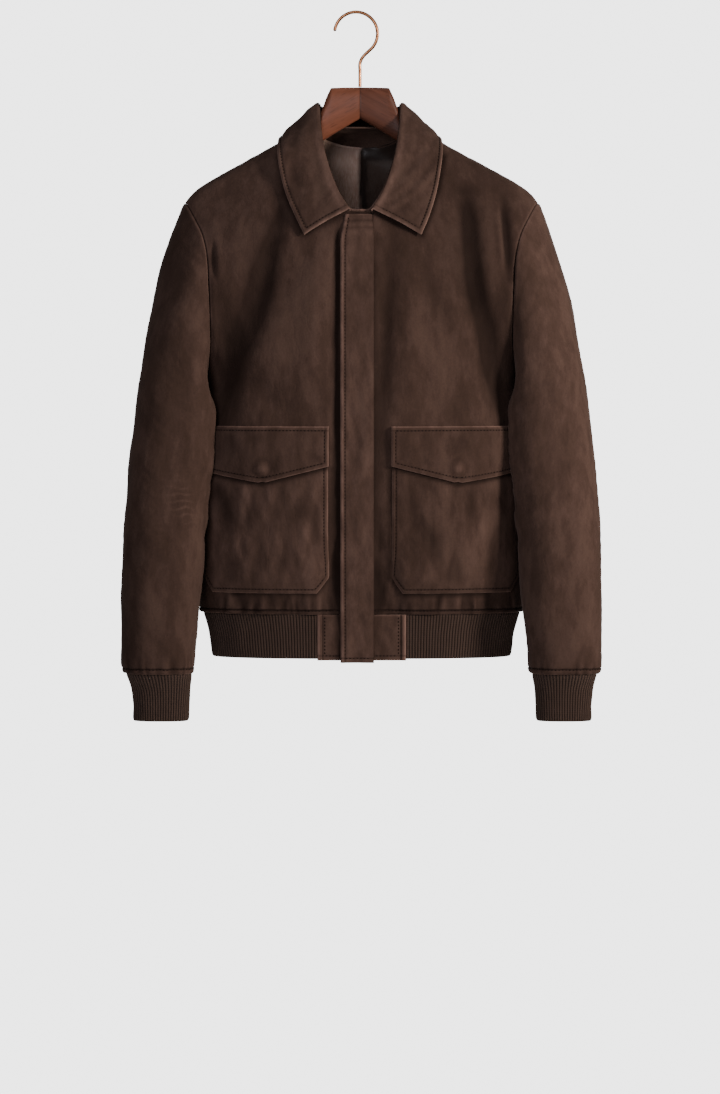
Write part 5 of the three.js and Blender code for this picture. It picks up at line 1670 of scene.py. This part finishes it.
        # Painted shade in the stitch grooves, round the snap's bump and in the troughs
        fold = 0.5 * bump_at(away - self.stitch, 0.9) * ramp(upper, 3, 7) + 0.3 * bump_at(snap - 1.2, 0.25)
        fold = fold + 0.5 * bump_at(upper - self.stitch, 0.9) + 0.3 * inside * np.clip(-soft - 0.2, 0, 1)
        grid = self.chart.place(around, drop, height)
        turned = self.side is Side.LEFT
        wall = Wall(SUEDE_THICK, TURNED_RIM).add(grid, turned, wear=wear, fold=fold)
        inner_low, point_low, outer_low = self.flap_ends
        corners = np.array([(outer, self.flap_top), (outer, outer_low), (point, point_low - 1.5),
                            (inner, inner_low), (inner, self.flap_top), (outer, self.flap_top)])
        ring = self._offset(corners, self.stitch)
        ring[0] = ring[-1] = (outer - self.stitch, self.flap_top + self.stitch)
        self._sew(ring, SUEDE_THICK + FLAP_PROUD - 0.45, stitching)
        wall.finish(f"pocket_flap_{self.side.word}", self.suede, "suede", f"flap_{self.side.word}")


def stand_at(stand: Table, stations: Array, up: Array) -> Array:
    """Places on the collar's stand.

    Args:
        stand: Its table.
        stations: Signed stations round the neck.
        up: 0 at the neck seam to 1 at the fold, a row for each height.

    Returns:
        The places.
    """
    row = stand.read(np.abs(stations))
    x, y, drop = (mix(row["seam_" + axis], row["top_" + axis], up[:, None]) for axis in ("x", "y", "drop"))
    return stack(np.where(stations < 0, -x, x), y, -drop)


@dataclass
class ShirtCollar:
    """The collar: a stand round the neck and a fall that rolls over it to two points."""

    suede: Material
    stitch: float = 6.2
    stand_gap: float = 0.8
    STAND = Table(
        "at seam_x seam_y seam_drop top_x top_y top_drop",
        (0, 0, 58, 169, 0, 49, 130), (1, 25, 54, 167, 22, 46, 129), (2, 46, 44, 161, 41, 36, 123),
        (3, 61, 29, 152, 52, 22, 119), (4, 67, 3, 145, 52.5, 3, 119), (5, 65, -22, 166, 50.5, -22, 151),
        (6, 55, -45, 209.5, 44, -43, 188.6), (7, 32, -66, 250, 30, -64, 230),
        (7.5, 18.4, -73, 261, 19, -72, 248), (7.75, 10, -73.6, 261.4, 11, -74.4, 257),
        (8, 0.2, -74, 261.6, 0.2, -76, 257.4),
    )
    FALL = Table(
        "at fold_x fold_y fold_drop edge_x edge_y edge_drop",
        (0, 0, 49, 130, 0, 74, 190), (1, 22, 46, 129, 40, 70, 190), (2, 41, 36, 123, 78, 57, 184),
        (3, 52, 22, 119, 101, 32, 172.5), (4, 52.5, 3, 119, 107, 0, 162.4),
        (5, 50.5, -22, 150, 107, -35, 186), (6, 44, -43, 188, 99, -54, 229), (7, 30, -65, 230, 88, -71, 261),
        (8, 13, -80, 258.5, 75.5, -82, 289),
    )
    ROLL = Table(
        "step out up", (0, 0, 1.3), (1, 1.1, 2.3), (2, 3.6, 2.3), (3, 6.4, 0.7),
    )

    @staticmethod
    def _stations() -> Array:
        """Signed stations round the neck, close together at both fronts."""
        near = 8 - np.array([0.4, 0.31, 0.24, 0.18, 0.13, 0.08, 0.045, 0.018, 0])
        half = np.concatenate([np.linspace(0, near[0], 96)[:-1], near])
        return np.concatenate([-half[:0:-1], half])

    def build_stand(self) -> None:
        """Builds and dresses the stand."""
        stations = self._stations()
        base = stand_at(self.STAND, stations, 1 - grown(38, 3.2) / 38) + np.array([0, 0, self.stand_gap])
        below, above = from_low(base), run_lengths(base, 0)
        grid = raised(base, edge_relief(above) * 0.6 + edge_relief(below) * 0.6)
        ahead = ramp(np.abs(stations), 6.4, 7.4)
        wear = 0.7 * bump_at(above, 2.0) * ahead
        # Painted shade: the back of the stand, seen only from inside, is painted dark, and darker along its
        # seam
        fold = 0.85 * (1 - ahead) + 0.4 * bump_at(below, 2.0)
        wall = Wall(SUEDE_THICK, SEWN_RIM).add(grid, wear=wear, fold=fold)
        wall.finish("collar_band", self.suede, "suede", "collar_stand")

    def build_fall(self, stitching: Stitching) -> None:
        """Builds and dresses the fall."""
        stations = self._stations()
        row = self.FALL.read(np.abs(stations))
        side = np.sign(stations) + (stations == 0)
        # The points lie over a little to the wearer's left
        lean = ramp(np.abs(stations), 5, 8)
        fold = stack(side * row["fold_x"] + 1.2 * lean, row["fold_y"], -row["fold_drop"])
        edge = stack(side * row["edge_x"] + 3.6 * lean, row["edge_y"], -row["edge_drop"])
        outward = edge - fold
        outward[:, 2] = 0
        outward = unit(outward)
        step = self.ROLL.read(np.linspace(0, 3, 15))
        hang = 1 - np.array([0, 0.5, 1.2, 2.2, 3.4, 4.8, 5.5, 6.2, 6.9, 8]) / 66
        down = np.concatenate([np.linspace(0, hang[-1], 24)[1:-1], hang[::-1]])
        rolled = fold + outward * step["out"][:, None, None] + stack(0, 0, step["up"][:, None] + 0 * stations)
        belly = 1.2 * np.sin(math.pi * down)[:, None, None] * (outward * 0.6 + np.array([0, 0, 0.8]))
        hung = mix(rolled[-1], edge, down[:, None, None]) + belly
        base = np.concatenate([rolled, hung])
        below, along = from_low(base), run_lengths(base, 1)
        ends = np.minimum(along, along[:, -1:] - along)
        away = np.minimum(below, ends)
        above = run_lengths(base, 0)
        soft = Waves(15, 46).at(along, 1.3 * above)
        fine = Waves(17, 17).at(along, above)
        middle = ramp(away, 5, 18) * ramp(above, 4, 22)
        height = edge_relief(away, self.stitch, 0.5, 0.6) * ramp(above, 2, 6)
        height += middle * (0.8 * soft + 0.25 * fine)
        wear = np.maximum(0.8 * bump_at(away, 1.2) + 0.22 * (1 - ramp(away, 3.6, 4.6)),
                          0.35 * bump_at(above - 7, 4.5) * ramp(np.abs(stations), 4, 6.5))
        # Painted shade in the stitch groove and in the troughs of the soft relief
        painted_crease_shade = 0.5 * bump_at(away - self.stitch, 0.9) + 0.3 * middle * np.clip(-soft - 0.3, 0, 1)
        grid = raised(base, height)
        wall = Wall(COLLAR_THICK, 0.6).add(grid, wear=wear, fold=painted_crease_shade)
        normals = normals_of(grid)
        first = nearest(ends[-1], self.stitch)
        inside = slice(first, len(stations) - first)
        path = contour(grid, from_low(grid), self.stitch)[inside]
        stitching.run(path, normals[-7, inside])
        for column in (first, len(stations) - 1 - first):
            stitching.run(grid[16:-7, column], normals[16:-7, column])
        wall.finish("collar_leaf", self.suede, "suede", "collar_fall")


@dataclass
class BackNeck:
    """What shows inside the neck: the satin lining with its centre pleat, and the hanging loop."""

    satin: Material
    suede: Material
    stand: Table
    inset: float = 2.0
    slit_x: float = 2.0
    loop_half: float = 27.0
    loop_y: float = 46.9
    loop_drop: float = 154.6
    loop_height: float = 9.0
    loop_thick: float = 2.0
    loop_bow: float = 1.2

    def _over_stand(self) -> Array:
        """The lining's gathered upper edge, which is sewn to the inside of the stand."""
        stations = np.linspace(-2.9, 2.9, 120)
        up = np.linspace(0.3, -0.05, 14)
        gathers = 0.6 * np.sin(stations * 34) * np.sin(stations * 11 + 1) * ramp(up[:, None], -0.05, 0.3)
        return raised(stand_at(self.stand, stations, up), -2.6 + gathers)

    def lining(self) -> None:
        """Builds and dresses the lining of the upper back."""
        rows = np.linspace(1, 6, 76)
        parts = np.linspace(0, 6 / 9, 66)
        right, left = (TORSO.upper(Face.BACK, side, rows[:, None], parts[None, :]) for side in Side)
        base = raised(np.concatenate([right[:, ::-1], left[:, 1:]], axis=1), -self.inset)
        x, drop = base[..., 0], -base[..., 2]
        lower = ramp(drop, 172, 184)
        open_half = 0.7 + 1.5 * bump_at(drop - 212, 26)
        off = np.abs(x - self.slit_x)
        pleat = 3.2 * bump_at(np.maximum(off - 3.2, 0), 7.0) * ramp(off, open_half * 0.4, open_half + 1.2)
        drape = 1.3 * Waves(31, 34).at(x, 0.12 * drop) * ramp(off, 6, 18)
        grid = base.copy()
        grid[..., 1] -= (pleat + np.maximum(drape, 0)) * lower
        slit = (1 - ramp(off, open_half * 0.6, open_half + 0.9)) * lower
        # The half on the wearer's left lies back in the shade of the collar
        shaded = 0.94 * ramp(x, -4, 8) + 0.35 * (1 - ramp(drop, 172, 190))
        # Painted shade in the pleat's slit and beside it, besides the half in the collar's shade
        fold = slit + 0.5 * bump_at(off - open_half - 1, 2.4) * lower + shaded
        # Above the neck seam it has two halves, which lie either side of the neck
        seam, middle = nearest(rows, 4), len(parts)
        wall = Wall(SATIN_THICK).add(grid[seam:], fold=fold[seam:])
        wall.add(grid[:seam + 1, :middle], fold=fold[:seam + 1, :middle])
        wall.add(grid[:seam + 1, middle:], beside=True, fold=fold[:seam + 1, middle:])
        gathered = self._over_stand()
        # The gathered edge is painted in shade, darker on the wearer's left
        wall.add(gathered, fold=0.15 + 0.94 * ramp(gathered[..., 0], -4, 8))
        wall.finish("satin_back_lining", self.satin, "satin_lining", "back_lining")

    def loop(self, stitching: Stitching) -> None:
        """Builds and dresses the hanging loop."""
        across, down = grown(2 * self.loop_half, 1.8), grown(self.loop_height, 0.9, (0, 0.3, 0.8, 1.5, 2.2))
        x = across[None, :] - self.loop_half + 0 * down[:, None]
        drop = self.loop_drop + down[:, None] + 0 * x
        y = self.loop_y - self.loop_bow * np.cos(x / self.loop_half * math.pi / 2)
        ends = self.loop_half - np.abs(x)
        away = np.minimum(down, down[::-1])[:, None] + 0 * x
        height = 0.5 * edge_relief(np.minimum(away, ends)) + 0.35 * bump_at(away - 4.5, 2.0)
        height = height - 0.4 * bump_at(ends - 4, 0.8) - 0.3 * bump_at(away - 1.8, 0.5)
        grid = raised(stack(x, y, -drop), height, True)
        # Painted light: the loop, which lies in shade, is painted paler all over and palest on its lower half
        wear = 0.5 + 0.5 * ramp(drop - self.loop_drop, 3.5, 6.5)
        # Painted shade in its stitch grooves
        wall = Wall(self.loop_thick, 0.5).add(grid, True, wear=wear, fold=0.7 * bump_at(ends - 4, 1.0))
        middle = len(across) // 2
        for column in (nearest(ends[0, :middle], 4), len(across) - 4):
            stitching.run(grid[1:-1, column], FORWARD)
        piece = wall.build("hanging_loop_strip", self.suede)
        dressed(piece, "suede", "hanging_loop")


def tube(rings: Array, reversed_faces: bool = False) -> tuple[Array, Array]:
    """Places and faces of a closed tube.

    Args:
        rings: Its rings of places, one after another.
        reversed_faces: True where the rings run so that the faces would point inward.

    Returns:
        The places, with the middle of both end rings last, and the faces.
    """
    rows, columns = rings.shape[:2]
    ids = np.arange(rows * columns).reshape(rows, columns)
    after, head, tail = np.roll(ids, -1, axis=1), ids.size + 0 * ids[0], ids.size + 1 + 0 * ids[0]
    quads = np.stack([ids[:-1], after[:-1], after[1:], ids[1:]], axis=-1).reshape(-1, 4)
    quads = np.concatenate([quads, np.stack([after[0], ids[0], head, head], axis=1),
                            np.stack([ids[-1], after[-1], tail, tail], axis=1)])
    places = np.concatenate([rings.reshape(-1, 3), rings[[0, -1]].mean(axis=1)])
    return places, quads[:, ::-1] if reversed_faces else quads


@dataclass
class WoodenHanger:
    """The hanger: two mitred beech arms, shaped to the shoulders, and a coppered wire hook."""

    stains_lit_and_shaded: dict[Side, StainedBeech]
    wire: Material
    slope: float = 28.0
    sides: int = 44
    ARM = Table(
        "x top bottom deep y",
        (0.15, 95, 135.8, 9, 0), (18, 95, 146, 9, 0.8), (38, 95.5, 158, 9.5, 1.7), (44, 108, 162, 9.5, 2),
        (50, 125, 165.5, 10, 2.3), (56, 142, 168.5, 10, 2.6), (63, 148.5, 172, 10.5, 2.9),
        (80, 155.5, 180, 10, 2.4), (110, 173, 196, 10.5, 1.1), (150, 195.5, 215, 10.5, -0.6),
        (185, 215.5, 232, 10.5, -2.1), (202, 226.5, 240, 10, -2.8), (206, 229.5, 238, 8, -3),
    )
    wire_radius: float = 2.2
    bend: float = 28.0
    bend_x: float = -5.2
    inside: float = 25.8
    turns: tuple[float, float] = (174.0, -52.0)
    stem_bottom: float = 94.6

    def build_arm(self, side: Side) -> None:
        """Builds and dresses an arm."""
        x = np.concatenate([[-0.15, 0.4, 0.9, 1.6, 2.6, 4], np.arange(6, 37, 2.0), np.arange(37, 70, 1.0),
                            np.arange(70, 200, 3.0), [201, 203, 204.6, 205.6, 206]])
        # The corners of the block are eased over 3 mm
        row, ease = {}, np.array([0.25, 0.5, 0.25])
        for name, column in zip(self.ARM.names, self.ARM.rows.T):
            padded = np.pad(np.interp(x, self.ARM.rows[:, 0], column), 1, mode="edge")
            row[name] = np.convolve(padded, ease, mode="valid")
        turn = np.arange(self.sides) * 2 * math.pi / self.sides
        mitre = 0.2 * bump_at(x, 0.8)
        close = np.sqrt(np.clip(1 - np.clip((x - 203) / 3.01, 0, 1) ** 2, 0.02, 1))
        half = (row["bottom"] - row["top"]) / 2 * close
        middle = (row["bottom"] + row["top"]) / 2
        y = row["y"][:, None] + ((row["deep"] - mitre) * close)[:, None] * signed_power(np.cos(turn), 0.8)
        z = -middle[:, None] + half[:, None] * signed_power(np.sin(turn), 0.8)
        places, quads = tube(stack(side.value * x[:, None] + 0 * turn, y, z), side is Side.RIGHT)
        # Painted shade in the mitre valley and on the mitre's end face
        fold = np.concatenate([np.repeat(0.9 * bump_at(x, 1.0), self.sides), [0.8, 0]])
        finish = self.stains_lit_and_shaded[side].material(f"stained_beech_{side.word}", self.slope * -side.value)
        piece = make_object(f"hanger_wood_{side.word}", places, quads, finish, {"fold": fold})
        dressed(piece, "stained_wood", f"hanger_arm_{side.word}")

    def build_hook(self) -> None:
        """Builds and dresses the wire hook."""
        centre_z = -math.sqrt(self.inside ** 2 - self.bend_x ** 2)
        degrees = np.radians(np.linspace(*self.turns, 27))
        circle = np.stack([np.cos(degrees), np.sin(degrees)], axis=1)
        bend = np.array([self.bend_x, centre_z]) + self.bend * circle
        neck = np.array([(3.5, -56), (0, -64), (0, -74), (0, -self.stem_bottom)])
        points = np.concatenate([bend, neck])
        lengths = line_lengths(points)
        path = Table("run x z", *[(length, x, z) for length, (x, z) in zip(lengths, points)])
        run = np.concatenate([[0, 0.15, 0.5, 1.0, 1.6, 2.2], np.linspace(3, lengths[-1], 150)])
        place, ahead = path.read(run), path.read(run + 0.4)
        before = path.read(run - 0.4)
        along = unit(np.stack([ahead["x"] - before["x"], 0 * run, ahead["z"] - before["z"]], axis=1))
        aside = np.cross(along, [0, 1.0, 0])
        size = self.wire_radius * np.sqrt(np.clip(1 - (1 - np.clip(run / 2.2, 0, 1)) ** 2, 0.004, 1))
        turn = np.arange(24) * math.pi / 12
        centre = np.stack([place["x"], 0 * run, place["z"]], axis=1)
        rings = (centre[:, None] + aside[:, None] * (size[:, None] * np.cos(turn))[..., None]
                 + np.array([0, 1.0, 0]) * (size[:, None] * np.sin(turn))[..., None])
        piece = make_object("hook_wire", *tube(rings, True), self.wire)
        dressed(piece, "copper_wire", "hook")


@dataclass
class Studio:
    """A pale floor below the view, pale surroundings, soft lights and the camera of the photograph."""

    distance: float = 5.0
    plane_y: float = -0.035
    height: float = -0.456
    aim: float = -0.693
    sensor: float = 36.0
    floor: float = -2.2
    floor_radius: float = 1.6
    white: float = 3.4
    ambient: float = 0.18

    def _light(self, name: str, place: Point, target: Point, size: float, power: float, colour: str) -> None:
        """Adds a soft light that points at a target."""
        lamp = bpy.data.lights.new(name, "AREA")
        lamp.energy, lamp.size, lamp.color = power, size, linear(colour)[:3]
        holder = bpy.data.objects.new(name, lamp)
        holder.location = place
        holder.visible_camera = False
        toward = np.array(target) - np.array(place)
        yaw = math.atan2(toward[1], toward[0]) - math.pi / 2
        pitch = math.atan2(toward[2], math.hypot(toward[0], toward[1])) + math.pi / 2
        holder.rotation_euler = (pitch, 0, yaw)
        bpy.context.scene.collection.objects.link(holder)

    def build(self) -> None:
        """Builds the floor, the lights, the world and the camera."""
        turns = np.linspace(0, 2 * math.pi, 65)[:-1]
        rim = np.stack([self.floor_radius * np.cos(turns), self.floor_radius * np.sin(turns),
                        np.full(64, self.floor)], axis=1)
        places = np.concatenate([rim, [[0.0, 0.0, self.floor]]]) / MM
        quads = np.array([(k, (k + 1) % 64, 64, 64) for k in range(64)])
        paint = Shader("pale_floor_paint")
        cloud = paint.add("TexNoise", (paint.place, None, patches(300), 2.0, 0.55))
        tone = paint.add("Mix", {0: cloud, 6: "#f4f4f2", 7: "#fafaf9"}, **COLOURS)
        make_object("studio_floor", places, quads, paint.done(tone, 0.9))
        world = bpy.data.worlds.new("studio_world")
        world.use_nodes = True
        world.node_tree.nodes["Background"].inputs["Color"].default_value = linear("#ffffff")
        # The surroundings look white and give little light, so that the soft key shapes the folds
        seen = add_node(world.node_tree, "LightPath", out="Is Camera Ray")
        glow = add_node(world.node_tree, "Math", (seen, self.white, self.ambient), operation="MULTIPLY_ADD")
        world.node_tree.links.new(glow, world.node_tree.nodes["Background"].inputs["Strength"])
        bpy.context.scene.world = world
        self._light("key_light", (3.2, -2.0, 0.4), (0.0, 0.0, -0.5), 0.75, 250.0, "#fff6ee")
        self._light("fill_light", (-1.1, -3.5, 0.4), (0.0, 0.0, -0.5), 2.0, 80.0, "#f4f5ff")
        self._light("back_light", (0.5, 3.4, 0.4), (0.0, 0.0, -0.5), 2.4, 95.0, "#ffffff")
        self._light("top_light", (0.0, 0.4, 3.0), (0.0, 0.0, -0.2), 2.6, 22.0, "#ffffff")
        lens = bpy.data.cameras.new("camera")
        lens.sensor_width, lens.clip_end = self.sensor, 50.0
        lens.lens = self.sensor * self.distance / (PHOTO_HEIGHT * MM_PER_PIXEL * MM)
        camera = bpy.data.objects.new("camera", lens)
        camera.location = (0.0, self.plane_y - self.distance, self.height)
        camera.rotation_euler = (math.pi / 2 + math.atan2(self.aim - self.height, self.distance), 0.0, 0.0)
        bpy.context.scene.collection.objects.link(camera)
        bpy.context.scene.camera = camera


def main() -> None:
    """Builds every piece in order."""
    logging.basicConfig(level=logging.INFO, format="%(name)s %(message)s")
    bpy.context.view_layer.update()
    suede = SplitSuede().material()
    stitching = Stitching(SewingThread().material())

    panels = BodyPanels(suede)
    for side in Side:
        panels.front(side, stitching)
    panels.back(stitching)
    stitching.build("stitches_hem_band")
    sleeves = SleevePair(suede)
    for side in Side:
        sleeves.build(side, stitching)
    stitching.build("stitches_sleeves")
    knit = RibKnit().material()
    for side in Side:
        RibBand(knit, 60).cuff(side)
    RibBand(knit, 212).hem()
    closing = FrontClosing(suede)
    closing.placket(stitching)
    for side in Side:
        closing.tab(side, stitching)
    stitching.build("stitches_closing")
    for side in Side:
        pocket = PatchPocket(suede, FrontChart(side))
        pocket.pocket(stitching)
        pocket.flap(stitching)
    stitching.build("stitches_pockets")
    collar = ShirtCollar(suede)
    collar.build_stand()
    collar.build_fall(stitching)
    neck = BackNeck(SatinLining().material(), suede, collar.STAND)
    neck.lining()
    neck.loop(stitching)
    stitching.build("stitches_collar")
    # The arm on the wearer's left is painted in darker colours, as painted shade of the half of the hanger
    # that faces away from the light
    lit_and_shaded_stains = {Side.RIGHT: StainedBeech(), Side.LEFT: StainedBeech("#543226", "#3f241a", "#27150f")}
    hanger = WoodenHanger(lit_and_shaded_stains, CopperedWire().material())
    for side in Side:
        hanger.build_arm(side)
    hanger.build_hook()
    Studio().build()

    bpy.context.view_layer.update()


if __name__ == "__main__":
    main()
